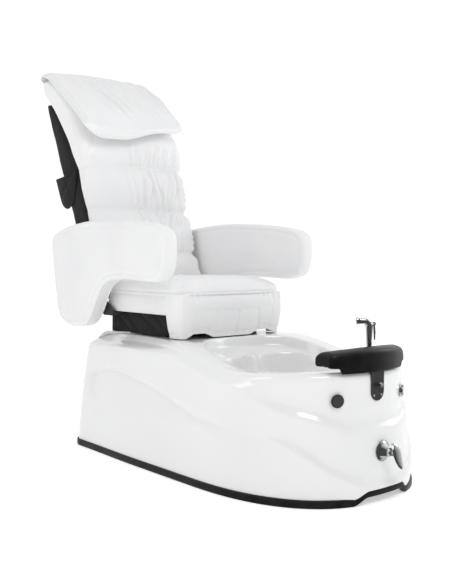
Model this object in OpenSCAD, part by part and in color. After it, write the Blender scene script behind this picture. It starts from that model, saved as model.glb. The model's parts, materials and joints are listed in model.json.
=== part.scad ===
// Pedicure spa chair: a foot tub with a sliding, reclining massage seat on its deck.
// Millimetres, +Z up. The sitter faces -Y and the sitter's right hand is on -X.
// Every outline below is written with Y measured from the toe of the tub, and
// at_origin() moves it so that the origin is under the middle of the whole chair.

/* [Tub] */
// Half of the tub's width at the floor
tub_half_w = 351; // [335:1:365]
// Length of the tub from toe to heel
tub_len = 1280; // [1240:5:1320]
// Length of the rounded toe
toe_len = 500; // [450:5:550]
// Radius of the heel corners
heel_r = 80; // [60:1:100]
// Thickness of the moulded shell
shell_t = 6; // [5:0.5:8]
// Height of the rim at the toe
rim_toe_z = 389; // [380:1:400]
// Height of the lowest part of the rim
rim_dip_z = 378; // [370:1:386]
// Height of the deck that carries the seat
deck_z = 440; // [430:1:445]
// Height of the black bumper
bumper_h = 24; // [20:1:28]
// Rise of the toe-kick arch
arch_rise = 20; // [10:1:24]

/* [Foot basin] */
// Half of the basin's width at its lip
basin_half_w = 250; // [235:1:256]
// Half of the basin's length at its lip
basin_half_l = 284; // [275:1:286]
// Distance of the basin's middle from the toe
basin_y = 416; // [412:1:420]
// Height of the basin's floor
basin_floor_z = 160; // [140:1:180]

/* [Footrest] */
// How far the footrest can be raised
footrest_lift = 100; // [60:5:105]
// Length of the footrest pad
pad_len = 340; // [300:5:350]
// Height of the bottom of the pad's front skirt
pad_z = 386; // [384:1:392]

/* [Seat] */
// Half of the seat cushion's width
seat_half_w = 250; // [240:1:255]
// Front of the seat cushion
seat_front_y = 702; // [695:1:715]
// Rear of the seat cushion
seat_rear_y = 1165; // [1150:1:1167]
// Top of the seat cushion
seat_top_z = 645; // [635:1:655]
// Travel of the seat towards the rear
seat_travel = 100; // [50:5:110]

/* [Backrest] */
// Half of the backrest's width
back_half_w = 250; // [240:1:252]
// Half of the rear shell's width
shell_half_w = 225; // [215:1:230]
// Lean of the backrest's frame from upright, in degrees
back_lean = 22.5; // [20:0.5:25]

/* [Armrests] */
// Thickness of an armrest
arm_t = 62; // [55:1:64]
// Outward splay of an armrest, in degrees
arm_splay = 1.7; // [0:0.1:2]

/* [Hidden] */

// Distance from the toe to the middle of the whole chair
origin_y = 815;
// Fineness of rounded pieces that belong in a hull
hull_fn = 32;
// Running clearance of a shaft in its bush
fit = 0.05;
// Clearance between pieces that slide past each other
gap = 0.4;
eps = 0.01;

// --- Shared functions ---------------------------------------------------------

function ease(u) = u <= 0 ? 0 : u >= 1 ? 1 : u * u * (3 - 2 * u);
function ramp(v, low, high) = ease((v - low) / (high - low));
function mix(a, b, k) = a + (b - a) * k;
function spow(v, e) = sign(v) * pow(abs(v), e);
function unit(v) = v / norm(v);
function outward(loop, i) =
  let (n = len(loop), d = loop[(i + 1) % n] - loop[(i + n - 1) % n])
  unit([d[1], -d[0]]);
function inset_loop(loop, d) = [for (i = [0 : len(loop) - 1]) loop[i] - d * outward(loop, i)];

// A smooth closed curve through the points, with n steps between each pair
function curve_at(a, b, c, d, u) =
  0.5 * (2 * b + (c - a) * u + (2 * a - 5 * b + 4 * c - d) * u * u
  + (3 * b - a - 3 * c + d) * u * u * u);
function smooth_loop(p, n) = [
  for (i = [0 : len(p) - 1], k = [0 : n - 1])
    curve_at(p[(i + len(p) - 1) % len(p)], p[i], p[(i + 1) % len(p)], p[(i + 2) % len(p)], k / n)
];

// Faces of a tube of rings, with m points in each of its n rings
function ring_faces(m, n, start = 0) = [
  for (r = [0 : n - 2], i = [0 : m - 1], half = [0, 1])
    let (a = start + r * m + i, b = start + r * m + (i + 1) % m, c = b + m, d = a + m)
    half == 0 ? [a, b, c] : [a, c, d]
];

// A strip of triangles that closes a ring by joining point i to its opposite number
function cap_faces(m, start, flip) = [
  for (i = [0 : ceil(m / 2) - 2], half = [0, 1])
    let (
      a = start + i, b = a + 1, c = start + m - 2 - i, d = c + 1,
      f = half == 0 ? [a, b, d] : [b, c, d]
    )
    if (f[0] != f[1] && f[1] != f[2]) flip ? [f[2], f[1], f[0]] : f
];

// A closed solid through rings of points; the first and last rings are flat
module loft(rings) {
  m = len(rings[0]);
  n = len(rings);
  polyhedron(
    points = [for (ring = rings, p = ring) p],
    faces = concat(
      ring_faces(m, n),
      cap_faces(m, 0, true),
      cap_faces(m, (n - 1) * m, false)
    )
  );
}

// A flat-sided shape from a side outline in Y and Z, with rounded edges
module padded_side(outline, thickness, edge) {
  steps = [[0, edge], [edge * 0.3, edge * 0.3], [edge, 0]];
  sections = concat(steps, [for (i = [2 : -1 : 0]) [thickness - steps[i][0], steps[i][1]]]);
  loft([for (s = sections) [for (p = inset_loop(outline, s[1])) [s[0], p[0], p[1]]]]);
}

module at_origin() {
  translate([0, -origin_y, 0]) children();
}

module both_sides() {
  children();
  mirror([1, 0, 0]) children();
}

module bar_along_x(half, y, z, w, h) {
  translate([-half, y, z]) cube([2 * half, w, h]);
}

module rod_y(r, y0, y1) {
  translate([0, y0, 0]) rotate([-90, 0, 0]) cylinder(r = r, h = y1 - y0, $fn = 48);
}

module rod_x(r, x0, x1, fn = 48) {
  translate([x0, 0, 0]) rotate([0, 90, 0]) cylinder(r = r, h = x1 - x0, $fn = fn);
}

// --- Tub ------------------------------------------------------------------------

toe_exp = 2.5;
heel_taper = 9;
toe_steps = 18;
side_steps = 8;
corner_steps = 5;
rear_steps = 3;
heel_x = tub_half_w - heel_taper;
heel_y = tub_len - heel_r;

function toe_point(a) = [
  tub_half_w * pow(sin(a), 2 / toe_exp),
  toe_len * (1 - pow(cos(a), 2 / toe_exp))
];
function side_point(y) = [tub_half_w - heel_taper * ramp(y, 800, heel_y), y];
function corner_point(a) = [heel_x - heel_r + heel_r * cos(a), heel_y + heel_r * sin(a)];
half_plan = concat(
  [for (i = [0 : toe_steps]) toe_point(90 * i / toe_steps)],
  [for (i = [1 : side_steps]) side_point(mix(toe_len, heel_y, i / side_steps))],
  [for (i = [1 : corner_steps]) corner_point(90 * i / corner_steps)],
  [for (i = [1 : rear_steps]) [(heel_x - heel_r) * (1 - i / rear_steps), tub_len]]
);
half_n = len(half_plan);
plan = concat(half_plan, [for (i = [half_n - 2 : -1 : 1]) [-half_plan[i][0], half_plan[i][1]]]);

// Basin angle that belongs to point i of the plan
function lip_angle(i) = i <= toe_steps ? 90 * i / toe_steps
  : 90 + 90 * (i - toe_steps) / (half_n - 1 - toe_steps);
function lip_point(a, s) = [
  s * basin_half_w * spow(sin(a), 2 / 2.4),
  basin_y - basin_half_l * spow(cos(a), 2 / 2.4)
];
lip = [
  for (i = [0 : len(plan) - 1])
    i < half_n ? lip_point(lip_angle(i), 1) : lip_point(lip_angle(2 * half_n - 2 - i), -1)
];

function rim_z(y) = rim_dip_z
  + (rim_toe_z - rim_dip_z) * (1 - ramp(y, 0, 330))
  + (deck_z - rim_dip_z) * ramp(y, 330, 680)
  - 12 * ramp(y, 1000, tub_len);
function arch_z(p) = p[1] > 60 ? 0 : arch_rise * (1 - ramp(abs(p[0]), 84, 118));
function ledge_z(y) = min(240 + 0.305 * y, rim_z(y) - 80);

// Each row of the wall: inset at the toe, inset at the heel, height
function wall_row(k, p) =
  let (y = p[1], rear = ramp(y, 450, 900), rim = rim_z(y))
  k == 0 ? [0, 0, bumper_h + arch_z(p)]
  : k == 1 ? [8, 12, 125]
  : k == 2 ? [15, 22, ledge_z(y) - 22]
  : k == 3 ? [30, 33, ledge_z(y)]
  : k == 4 ? [30, 50, rim - mix(40, 60, rear)]
  : k == 5 ? [32, 72, rim - mix(14, 26, rear)]
  : k == 6 ? [38, 92, rim - mix(4, 8, rear)]
  : [50, 112, rim];
wall_rows = 8;
function wall_ring(k, t) = [
  for (i = [0 : len(plan) - 1])
    let (
      p = plan[i],
      row = wall_row(k, p),
      q = p - (mix(row[0], row[1], ramp(p[1], 450, 900)) + t) * outward(plan, i)
    )
    [q[0], q[1], row[2] - (k > 3 ? t : 0)]
];

// Rings across the deck, from the crest of the rim to the basin's lip
function deck_ring(u, t) =
  let (crest = wall_ring(wall_rows - 1, t))
  [
    for (i = [0 : len(plan) - 1])
      let (x = mix(crest[i][0], lip[i][0], u), y = mix(crest[i][1], lip[i][1], u))
      [x, y, rim_z(y) - t]
  ];

// Rows of the basin: inset from the lip, depth below the rim or height
basin_rows = [[0, 2], [7, 12], [14, 46], [26, 110], [42, 172], [75, 207], [120, 217]];
function basin_ring(row, t) = [
  for (i = [0 : len(plan) - 1])
    let (
      k = 1 - (row[0] - (row[0] > 0 ? t : 0)) / basin_half_w,
      x = lip[i][0] * k,
      y = basin_y + (lip[i][1] - basin_y) * k,
      top = mix(rim_z(lip[i][1]), rim_dip_z, min(1, row[1] / 120)),
      z = max(basin_floor_z, top - row[1])
    )
    [x, y, z - t]
];

function tub_skin(t) = concat(
  [for (k = [0 : wall_rows - 1]) wall_ring(k, t)],
  [for (u = [0.35, 0.7]) deck_ring(u, t)],
  [for (row = basin_rows) basin_ring(row, t)]
);

module tub_body() {
  outer = tub_skin(0);
  inner = tub_skin(shell_t);
  m = len(plan);
  n = len(outer);
  total = m * n;
  mid = [[0, basin_y, basin_floor_z], [0, basin_y, basin_floor_z - shell_t]];
  flip = [for (f = ring_faces(m, n, total)) [f[2], f[1], f[0]]];
  polyhedron(
    points = concat([for (r = outer, p = r) p], [for (r = inner, p = r) p], mid),
    faces = concat(
      ring_faces(m, n),
      flip,
      [for (i = [0 : m - 1]) [total - m + i, total - m + (i + 1) % m, 2 * total]],
      [for (i = [0 : m - 1]) [2 * total - m + (i + 1) % m, 2 * total - m + i, 2 * total + 1]],
      [
        for (i = [0 : m - 1], half = [0, 1])
          let (a = i, b = (i + 1) % m, c = total + b, d = total + a)
          half == 0 ? [b, a, c] : [a, d, c]
      ]
    )
  );
}

// Front wall of the upper tub, where the fittings sit
front_wall_y = 30;
post_w = 30;
post_t = 8;
post_y = 52;
channel_wall = 4;
button_x = 150;
button_z = 308;
button_r = 20.5;
// Height at which the mixer sits, and the wall's distance from the toe there
mixer_z = 147;
mixer_wall_y = 9;
sprayer_x = 57;
sprayer_y = 109;
service_half_w = 105;

// Where the buttons' axes leave the wall, and the direction that they face
button_turn = 26;
button_y = 57.5;
module at_button(side) {
  translate([side * button_x, button_y, button_z]) rotate([0, 0, side * button_turn]) children();
}

module tub_shell() {
  color("white") at_origin() difference() {
    tub_body();
    translate([-post_w / 2 - channel_wall - 0.5, post_y - 10.5, rim_toe_z - 40])
      cube([post_w + 2 * channel_wall + 1, 21, 60]);
    translate([0, 0, 346]) rod_y(9, 0, 41);
    for (s = [-1, 1]) at_button(s) rod_y(13, -20, 30);
    translate([0, 0, mixer_z]) rod_y(20, -20, 60);
    translate([0, 0, mixer_z]) rod_y(33, -20, mixer_wall_y + 0.1);
    translate([sprayer_x, sprayer_y, rim_toe_z - 30]) cylinder(r = 13, h = 60, $fn = 48);
    translate([0, basin_y, basin_floor_z - 20]) cylinder(r = 26, h = 40, $fn = 64);
    translate([-service_half_w, tub_len - 60, 48]) cube([2 * service_half_w, 80, 84]);
    both_sides() for (y = jet_ys) translate([0, y, jet_z]) rod_x(9.5, 190, 262);
  }
}

// Outward offset and height of each corner of the bumper's section
bumper_section = [[-4, 0], [-5, 5], [-5, 20], [-2, bumper_h], [12, bumper_h], [12, 0]];

module bumper_trim() {
  m = len(plan);
  rings = [
    for (s = bumper_section)
      [for (i = [0 : m - 1]) let (q = plan[i] - s[0] * outward(plan, i)) [q[0], q[1], s[1] + arch_z(plan[i])]]
  ];
  k = len(rings);
  color([0.06, 0.06, 0.06]) at_origin() polyhedron(
    points = [for (ring = rings, p = ring) p],
    faces = concat(
      ring_faces(m, k),
      [
        for (i = [0 : m - 1], half = [0, 1])
          let (a = (k - 1) * m + i, b = (k - 1) * m + (i + 1) % m, c = (i + 1) % m, d = i)
          half == 0 ? [a, b, c] : [a, c, d]
      ]
    )
  );
}

// --- Base frame and plumbing ------------------------------------------------------

frame_x = 262;
frame_y0 = 215;
frame_y1 = 1150;
tube = 30;
frame_z = 34;
post_top_z = 424.5;
pump_y = 905;
pump_z = 205;

module base_frame() {
  color([0.35, 0.36, 0.38]) at_origin() {
    difference() {
      union() {
        both_sides() translate([frame_x - tube, frame_y0, frame_z]) cube([tube, frame_y1 - frame_y0, tube]);
        for (y = [frame_y0, 740, pump_y - 15, frame_y1 - tube]) bar_along_x(frame_x - tube + eps, y, frame_z, tube, tube);
        both_sides() for (y = [790, 1080])
          translate([150, y, frame_z + tube - eps]) cube([tube, tube, post_top_z - frame_z - tube]);
        both_sides() for (y = [790, 1080])
          translate([150, y, frame_z]) cube([frame_x - 150 - eps, tube, tube]);
        for (y = [790, 1080]) bar_along_x(150 + eps, y, post_top_z - tube, tube, tube);
      }
      for (x = [-1, 1], y = [frame_y0 + 15, frame_y1 - 15])
        translate([x * (frame_x - 15), y, 0]) cylinder(r = 5.2, h = 100, $fn = 32);
    }
  }
}

module levelling_feet() {
  color([0.15, 0.15, 0.16]) at_origin()
    for (x = [-1, 1], y = [frame_y0 + 15, frame_y1 - 15]) translate([x * (frame_x - 15), y, 0]) {
      cylinder(r = 22, h = 10, $fn = 48);
      cylinder(r = 5.1, h = 76, $fn = 32);
      translate([0, 0, 24]) cylinder(r = 9, h = frame_z - 24, $fn = 6);
    }
}

// Thickness of the seal under the strainer
strainer_seal = 0.5;

module basin_strainer() {
  color("silver") at_origin() translate([0, basin_y, basin_floor_z + strainer_seal]) difference() {
    cylinder(r = 38, h = 3, $fn = 64);
    for (ring = [12, 24], i = [0 : ring / 2 - 1])
      rotate([0, 0, i * 720 / ring]) translate([ring, 0, -1]) cylinder(r = 3, h = 6, $fn = 24);
  }
}

drain_r = 24;
drain_z = 92;
drain_end_y = tub_len - 4;
// The drain's tail that a waste hose pushes onto
drain_tail_len = 80;

module drain_outlet() {
  color([0.2, 0.2, 0.2]) at_origin() difference() {
    union() {
      translate([0, basin_y, drain_z]) cylinder(r = 25.5, h = basin_floor_z - drain_z, $fn = 64);
      translate([0, 0, drain_z]) rod_y(drain_r - 1.5, basin_y, drain_end_y - drain_tail_len + eps);
      translate([0, 0, drain_z]) rod_y(drain_r, drain_end_y - drain_tail_len, drain_end_y);
      translate([0, basin_y, basin_floor_z - shell_t - 9]) cylinder(r = 36, h = 8, $fn = 48);
    }
    translate([0, basin_y, drain_z]) cylinder(r = 21, h = 100, $fn = 48);
    translate([0, 0, drain_z]) rod_y(20, basin_y, drain_end_y + 1);
  }
}

supply_x = 70;
supply_r = 10.5;
supply_z = 92;

module supply_tails() {
  color("darkgoldenrod") at_origin() both_sides() translate([supply_x, 0, supply_z]) {
    difference() {
      union() {
        rod_y(supply_r, 1180, tub_len - 4);
        rod_y(17, 1180, 1196);
        rod_y(8, 1172, 1180 + eps);
      }
      rod_y(6, 1160, tub_len);
    }
  }
}

pump_outlet_h = 82;

module jet_pump() {
  color([0.16, 0.17, 0.2]) at_origin() translate([0, pump_y, pump_z]) {
    rod_x(58, -70, 105, 64);
    rod_x(72, -112, -70 + eps, 64);
    translate([-92, 0, 0]) cylinder(r = 20, h = pump_outlet_h, $fn = 48);
    for (x = [-58, 62]) translate([x, -45, frame_z + tube - pump_z]) cube([22, 90, 105]);
    for (i = [0 : 7]) rotate([i * 45, 0, 0]) translate([-66, -1.5, 55]) cube([160, 3, 8]);
  }
}

jet_z = 250;
jet_ys = [346, 476];
pipe_x = 290;
pipe_z = 302;
pipe_y = 775;

module pump_pipework() {
  color([0.8, 0.8, 0.78]) at_origin() {
    translate([-92, pump_y, pump_z + pump_outlet_h]) cylinder(r = 24, h = 30, $fn = 48);
    translate([-92, 0, pipe_z]) rod_y(9, pipe_y, pump_y);
    translate([0, pipe_y, pipe_z]) rod_x(9, -pipe_x - 9, pipe_x + 9);
    for (s = [-1, 1]) translate([s * pipe_x, 0, pipe_z]) rod_y(9, jet_ys[0] - 9, pipe_y);
    both_sides() for (y = jet_ys) {
      translate([pipe_x, y, jet_z]) cylinder(r = 8, h = pipe_z - jet_z, $fn = 32);
      translate([0, y, jet_z]) rod_x(8, 262, pipe_x);
    }
    translate([-92, 0, pump_z]) rod_y(16, 672, pump_y - 72);
  }
}

module jet_covers() {
  color("silver") at_origin() both_sides() for (y = jet_ys) translate([0, y, jet_z]) difference() {
    union() {
      rod_x(16, 205.4, 209.4);
      rod_x(9, 208, 262);
    }
    for (i = [0 : 5]) rotate([i * 60, 0, 0]) translate([0, 10, 0]) rod_x(2, 200, 300, 24);
  }
}

// --- Front fittings -----------------------------------------------------------------

plate_half_w = 29;
plate_t = 3;
plate_bottom_z = 296;
flange_z = rim_toe_z + 1;
plate_y = front_wall_y - plate_t - 0.5;
plunger_z = 346;
plunger_r = 4;
channel_z = 225;

module bracket_plate() {
  translate([0, plate_y + plate_t, 0]) rotate([90, 0, 0]) linear_extrude(plate_t) {
    translate([0, plate_bottom_z + plate_half_w]) circle(r = plate_half_w, $fn = 96);
    translate([-plate_half_w, plate_bottom_z + plate_half_w])
      square([2 * plate_half_w, flange_z + plate_t - plate_bottom_z - plate_half_w]);
  }
}

module footrest_bracket() {
  slot_w = post_w / 2 + gap;
  slot_t = post_t / 2 + gap;
  color([0.3, 0.3, 0.31]) at_origin() difference() {
    union() {
      bracket_plate();
      translate([-plate_half_w, plate_y, flange_z]) cube([2 * plate_half_w, 42, plate_t]);
      translate([-slot_w - channel_wall, post_y - slot_t - channel_wall, channel_z])
        cube([2 * (slot_w + channel_wall), 2 * (slot_t + channel_wall), flange_z - channel_z + eps]);
      translate([0, 0, plunger_z]) rod_y(8.5, plate_y, post_y - slot_t - channel_wall + eps);
    }
    translate([-slot_w, post_y - slot_t, channel_z - 1]) cube([2 * slot_w, 2 * slot_t, 300]);
    translate([0, 0, plunger_z]) rod_y(plunger_r + fit, 0, post_y);
  }
}

module bracket_screws() {
  color("silver") at_origin() for (s = [-1, 1]) translate([s * 17, 0, 312]) {
    rod_y(2.2, plate_y, front_wall_y + 12);
    translate([0, plate_y, 0]) rotate([90, 0, 0]) cylinder(r1 = 4.5, r2 = 3, h = 2, $fn = 32);
  }
}

module bracket_plunger() {
  color("silver") at_origin() translate([0, 0, plunger_z]) {
    rod_y(plunger_r, plate_y - 6, post_y - post_t / 2 - gap);
    rod_y(7.5, plate_y - 14, plate_y - 6 + eps);
    rod_y(5.5, plate_y - 17, plate_y - 14 + eps);
  }
}

post_bottom_z = flange_z - footrest_lift - 75;
carrier_z = 401;

module footrest_post() {
  hole_step = 20;
  color([0.4, 0.4, 0.41]) at_origin() {
    difference() {
      translate([-post_w / 2, post_y - post_t / 2, post_bottom_z])
        cube([post_w, post_t, carrier_z - post_bottom_z + eps]);
      for (i = [0 : 5]) translate([0, 0, plunger_z - i * hole_step]) rod_y(plunger_r + 0.5, 0, 90);
    }
    translate([-100, post_y - 14, carrier_z]) cube([200, 36, 4]);
  }
}

// The pad is a band that bows forwards, with a deeper skirt along its front
pad_front_y = 19;
pad_bow = 26;
pad_top_z = 458;
pad_base_z = carrier_z + 4;
pad_depth = 60;
pad_end_depth = 74;
pad_skirt_t = 5;
pad_stations = concat([-1, -0.985, -0.94], [for (i = [-6 : 6]) i * 0.14], [0.94, 0.985, 1]);

// Distance from the pad's front as a share of its depth, and height
pad_section = [
  [0, pad_z], [-0.02, pad_z + 20], [0.02, pad_z + 42], [0.1, pad_top_z - 13],
  [0.26, pad_top_z - 5], [0.5, pad_top_z], [0.74, pad_top_z - 1], [0.92, pad_top_z - 9],
  [1, pad_top_z - 24], [0.98, pad_base_z], [0.12, pad_base_z], [pad_skirt_t / pad_depth, pad_z]
];
function pad_ring(u) =
  let (
    end = 1 - sqrt(1 - pow(max(0, (abs(u) - 0.9) / 0.1), 2)),
    depth = mix(pad_depth, pad_end_depth, u * u),
    front = pad_front_y + pad_bow * u * u
  )
  [
    for (s = pad_section)
      let (y = mix(s[0], 0.5, s[1] > pad_base_z ? 0.24 * end : 0))
      [
        u * pad_len / 2,
        front + y * depth,
        s[1] <= pad_base_z ? s[1] : mix(s[1], pad_base_z, 0.4 * end)
      ]
  ];

module footrest_pad() {
  color([0.08, 0.08, 0.08]) at_origin()
    loft([for (u = pad_stations) pad_ring(u)]);
}

module mixer_escutcheon() {
  color("silver") at_origin() translate([0, mixer_wall_y, mixer_z]) rotate([90, 0, 0]) {
    difference() {
      union() {
        cylinder(r = 32, h = 3, $fn = 96);
        translate([0, 0, 3 - eps]) cylinder(r1 = 30, r2 = 24, h = 5, $fn = 96);
        translate([0, 0, -46]) cylinder(r = 19, h = 46, $fn = 64);
      }
      translate([0, 0, -30]) cylinder(r = 12 + fit, h = 50, $fn = 64);
    }
  }
}

// How far the lever's pin stands out from the wall
lever_out = 33;
lever_pin_r = 2;

module mixer_cone() {
  color("silver") at_origin() translate([0, mixer_wall_y, mixer_z]) rotate([90, 0, 0])
    difference() {
      union() {
        translate([0, 0, -25]) cylinder(r = 12, h = 34, $fn = 64);
        translate([0, 0, 8.6]) cylinder(r1 = 23, r2 = 13, h = 20, $fn = 96);
        translate([0, 0, 28]) cylinder(r = 13, h = 8, $fn = 64);
      }
      translate([-6.2, -20, 29]) cube([12.4, 40, 10]);
      translate([0, 0, lever_out]) rod_x(lever_pin_r + fit, -20, 20);
    }
}

module mixer_lever() {
  color("silver") at_origin() translate([0, mixer_wall_y - lever_out, mixer_z]) {
    translate([-6, -14, -3.5]) cube([12, 16, 7]);
    rod_x(lever_pin_r, -11, 11);
    hull() {
      translate([0, -15, 20]) rotate([84, 0, 0]) cylinder(r = 10, h = 7, center = true, $fn = hull_fn);
      translate([0, -18, 0]) rotate([74, 0, 0]) cylinder(r = 17, h = 9, center = true, $fn = hull_fn);
      translate([0, -36, -48]) rotate([62, 0, 0]) cylinder(r = 7, h = 6, center = true, $fn = hull_fn);
    }
  }
}

module button_bezels() {
  color("silver") at_origin() for (s = [-1, 1]) at_button(s) difference() {
    union() {
      rod_y(button_r, -8, -0.5);
      rod_y(12.5, -1, 26);
    }
    rod_y(16.5, -20, -4);
    rod_y(9 + fit, -20, 30);
  }
}

module air_button() {
  rod_y(16, -10.5, -7.5);
  rod_y(9, -7.5 - eps, 20);
}

module button_right() {
  color("silver") at_origin() at_button(-1) air_button();
}

module button_left() {
  color("silver") at_origin() at_button(1) air_button();
}

sprayer_seat_z = rim_toe_z + 9;

module sprayer_collar() {
  color("silver") at_origin() translate([sprayer_x, sprayer_y, 0]) difference() {
    union() {
      translate([0, 0, rim_toe_z + 0.3]) cylinder(r = 16, h = 3, $fn = 64);
      translate([0, 0, rim_toe_z + 3]) cylinder(r1 = 14.5, r2 = 13, h = 6, $fn = 64);
      translate([0, 0, rim_toe_z - 40]) cylinder(r = 12.5, h = 45, $fn = 64);
    }
    translate([0, 0, rim_toe_z - 60]) cylinder(r = 9.5, h = 90, $fn = 64);
  }
}

// The sprayer's neck bends over towards the basin
neck_turn = 139.8;
neck_top_z = 515;
trigger_x = -14.5;
trigger_z = 6;
trigger_pin_r = 1.2;

module sprayer() {
  color("silver") at_origin() translate([sprayer_x, sprayer_y, 0]) {
    translate([0, 0, sprayer_seat_z - 30]) cylinder(r = 9, h = 30, $fn = 48);
    translate([0, 0, sprayer_seat_z]) cylinder(r = 10.5, h = 6, $fn = 48);
    translate([0, 0, sprayer_seat_z + 6 - eps]) cylinder(
      r1 = 7, r2 = 10, h = neck_top_z - sprayer_seat_z - 6, $fn = 48);
    translate([0, 0, neck_top_z - 2]) cylinder(r = 11.2, h = 3, $fn = 48);
    rotate([0, 0, neck_turn]) translate([0, 0, neck_top_z]) {
      translate([14, 0, 0]) rotate([90, 0, 0]) rotate([0, 0, 90]) rotate_extrude(angle = 90, $fn = 64)
        translate([14, 0]) circle(r = 10.5, $fn = 48);
      translate([14 - eps, 0, 14]) rotate([0, 90, 0]) cylinder(r = 9.5, h = 24, $fn = 48);
      translate([34, 0, 14]) rotate([0, 90, 0]) cylinder(r = 11, h = 8, $fn = 48);
      for (y = [-8, 6]) translate([-18, y, 2.2]) cube([14, 2, 8]);
      translate([trigger_x, 0, trigger_z]) rod_y(trigger_pin_r, -7, 7);
    }
  }
}

module sprayer_trigger() {
  color("silver") at_origin() translate([sprayer_x, sprayer_y, neck_top_z]) rotate([0, 0, neck_turn]) difference() {
    hull() {
      translate([trigger_x, 0, trigger_z]) rotate([90, 0, 0])
        cylinder(r = 2.8, h = 10, center = true, $fn = hull_fn);
      translate([-16.5, 0, -22]) rotate([90, 0, 0]) cylinder(r = 3, h = 10, center = true, $fn = hull_fn);
      translate([-16.5, 0, -44]) rotate([90, 0, 0]) cylinder(r = 2, h = 8, center = true, $fn = hull_fn);
    }
    translate([trigger_x, 0, trigger_z]) rod_y(trigger_pin_r + fit, -9, 9);
  }
}

// --- Seat carriage -------------------------------------------------------------------

rail_x = 150;
rail_z = deck_z + 0.5;
rail_h = 14;

rail_y = 800;
runner_len = 246;
rail_len = runner_len + seat_travel + 4;
seat_tube = 20;
seat_frame_z = 506;

module seat_rails() {
  color([0.5, 0.51, 0.53]) at_origin() both_sides() translate([rail_x, rail_y, rail_z]) difference() {
    translate([-15, 0, 0]) cube([30, rail_len, rail_h]);
    translate([-11, -1, 3]) cube([22, rail_len + 2, 8]);
    translate([-6, -1, 3]) cube([12, rail_len + 2, 20]);
  }
}

module slide_runners() {
  top_z = seat_frame_z - rail_z;
  color([0.6, 0.6, 0.62]) at_origin() both_sides() translate([rail_x, rail_y + 2, rail_z]) {
    translate([-11 + gap, 0, 3 + gap]) cube([22 - 2 * gap, runner_len, 8 - 2 * gap]);
    translate([-6 + gap, 0, 3 + gap]) cube([12 - 2 * gap, runner_len, 14]);
    translate([-15, 0, rail_h + gap]) cube([30, runner_len, top_z - rail_h - gap]);
  }
}

// Room for the rails under whatever slides along them
module rail_slots() {
  both_sides() translate([rail_x - 16, 600, deck_z]) cube([32, 600, rail_h + 2]);
}

cover_half_w = 221;
cover_t = 4;
cover_top_z = 526;
cover_profile = [[800, 447], [771, 503], [781, cover_top_z], [1176, cover_top_z], [1180, 447]];

module seat_base_cover() {
  color([0.07, 0.07, 0.07]) at_origin() difference() {
    translate([-cover_half_w, 0, 0]) rotate([90, 0, 90]) linear_extrude(2 * cover_half_w)
      polygon(cover_profile);
    translate([-cover_half_w + cover_t, 0, 0]) rotate([90, 0, 90])
      linear_extrude(2 * (cover_half_w - cover_t)) union() {
        offset(delta = -cover_t) polygon(cover_profile);
        translate([806, 440]) square([370, 20]);
        translate([790, cover_top_z - 8]) square([380, 20]);
      }
    bar_along_x(300, 1099.5, seat_frame_z - 0.5, 21, 40);
    rail_slots();
  }
}

pan_z = seat_frame_z + seat_tube;
hinge_y = 1212;
hinge_z = 585;
hinge_r = 9;
ear_x = 232;
arm_pivot_y = 1290;
arm_pivot_z = 640;
arm_pin_r = 10;
arm_post_x = 258;

module seat_ear() {
  difference() {
    union() {
      translate([ear_x, 0, 0]) rotate([90, 0, 90]) linear_extrude(8) hull() {
        translate([hinge_y, hinge_z]) circle(r = 20, $fn = 64);
        translate([1174, seat_frame_z]) square([26, seat_tube]);
      }
      translate([ear_x, 1101, seat_frame_z]) cube([8, 80, seat_tube]);
    }
    translate([0, hinge_y, hinge_z]) rod_x(hinge_r + fit, 200, 260);
  }
}

module arm_post() {
  translate([arm_post_x, 0, 0]) rotate([90, 0, 90]) linear_extrude(8) hull() {
    translate([arm_pivot_y, arm_pivot_z]) circle(r = 22, $fn = 64);
    translate([1090, seat_frame_z]) square([60, seat_tube]);
  }
  translate([0, arm_pivot_y, arm_pivot_z]) rod_x(arm_pin_r, arm_post_x + 7, 318);
  translate([0, arm_pivot_y, arm_pivot_z]) rod_x(15, arm_post_x + 8 - eps, 272);
}

module seat_frame() {
  color([0.3, 0.31, 0.33]) at_origin() {
    both_sides() translate([190, 792, seat_frame_z]) cube([seat_tube, 370, seat_tube]);
    for (y = [792, 960, 1142]) bar_along_x(190 + eps, y, seat_frame_z, seat_tube, seat_tube);
    bar_along_x(266, 1100, pan_z - seat_tube, seat_tube, seat_tube - eps);
    both_sides() seat_ear();
    both_sides() arm_post();
  }
}

module seat_pan() {
  color([0.75, 0.65, 0.5]) at_origin()
    translate([-226, 735, pan_z + 0.2]) cube([452, 420, 9]);
}

cushion_z = pan_z + 9.4;

// A rounded rectangle in plan, from its half width, front and rear
function round_plan(w, y0, y1, r, n = 6) = [
  for (c = [[1, y0, -90], [1, y1, 0], [-1, y1, 90], [-1, y0, 180]], i = [0 : n])
    let (a = c[2] + 90 * i / n)
    [
      c[0] * (w - r) + r * cos(a),
      (c[1] == y0 ? y0 + r : y1 - r) + r * sin(a)
    ]
];

module cushion_block(w, y0, y1, r, z0, z1, edge) {
  base = round_plan(w, y0, y1, r);
  rows = [
    [edge * 0.6, z0], [0, z0 + edge * 0.6], [0, z1 - edge],
    [edge * 0.3, z1 - edge * 0.3], [edge, z1]
  ];
  loft([for (row = rows) [for (p = inset_loop(base, row[0])) [p[0], p[1], row[1]]]]);
}

module seat_cushion() {
  color("white") at_origin()
    cushion_block(seat_half_w, seat_front_y, seat_rear_y, 55, cushion_z, seat_top_z, 26);
}

module seat_apron() {
  outline = [[693, 450], [742, 450], [752, 500], [752, 524], [730, 524], [728, 532], [700, 532], [690, 490]];
  color("white") at_origin() difference() {
    translate([-244, 0, 0]) rotate([90, 0, 90]) linear_extrude(488) polygon(outline);
    rail_slots();
  }
}

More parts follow.
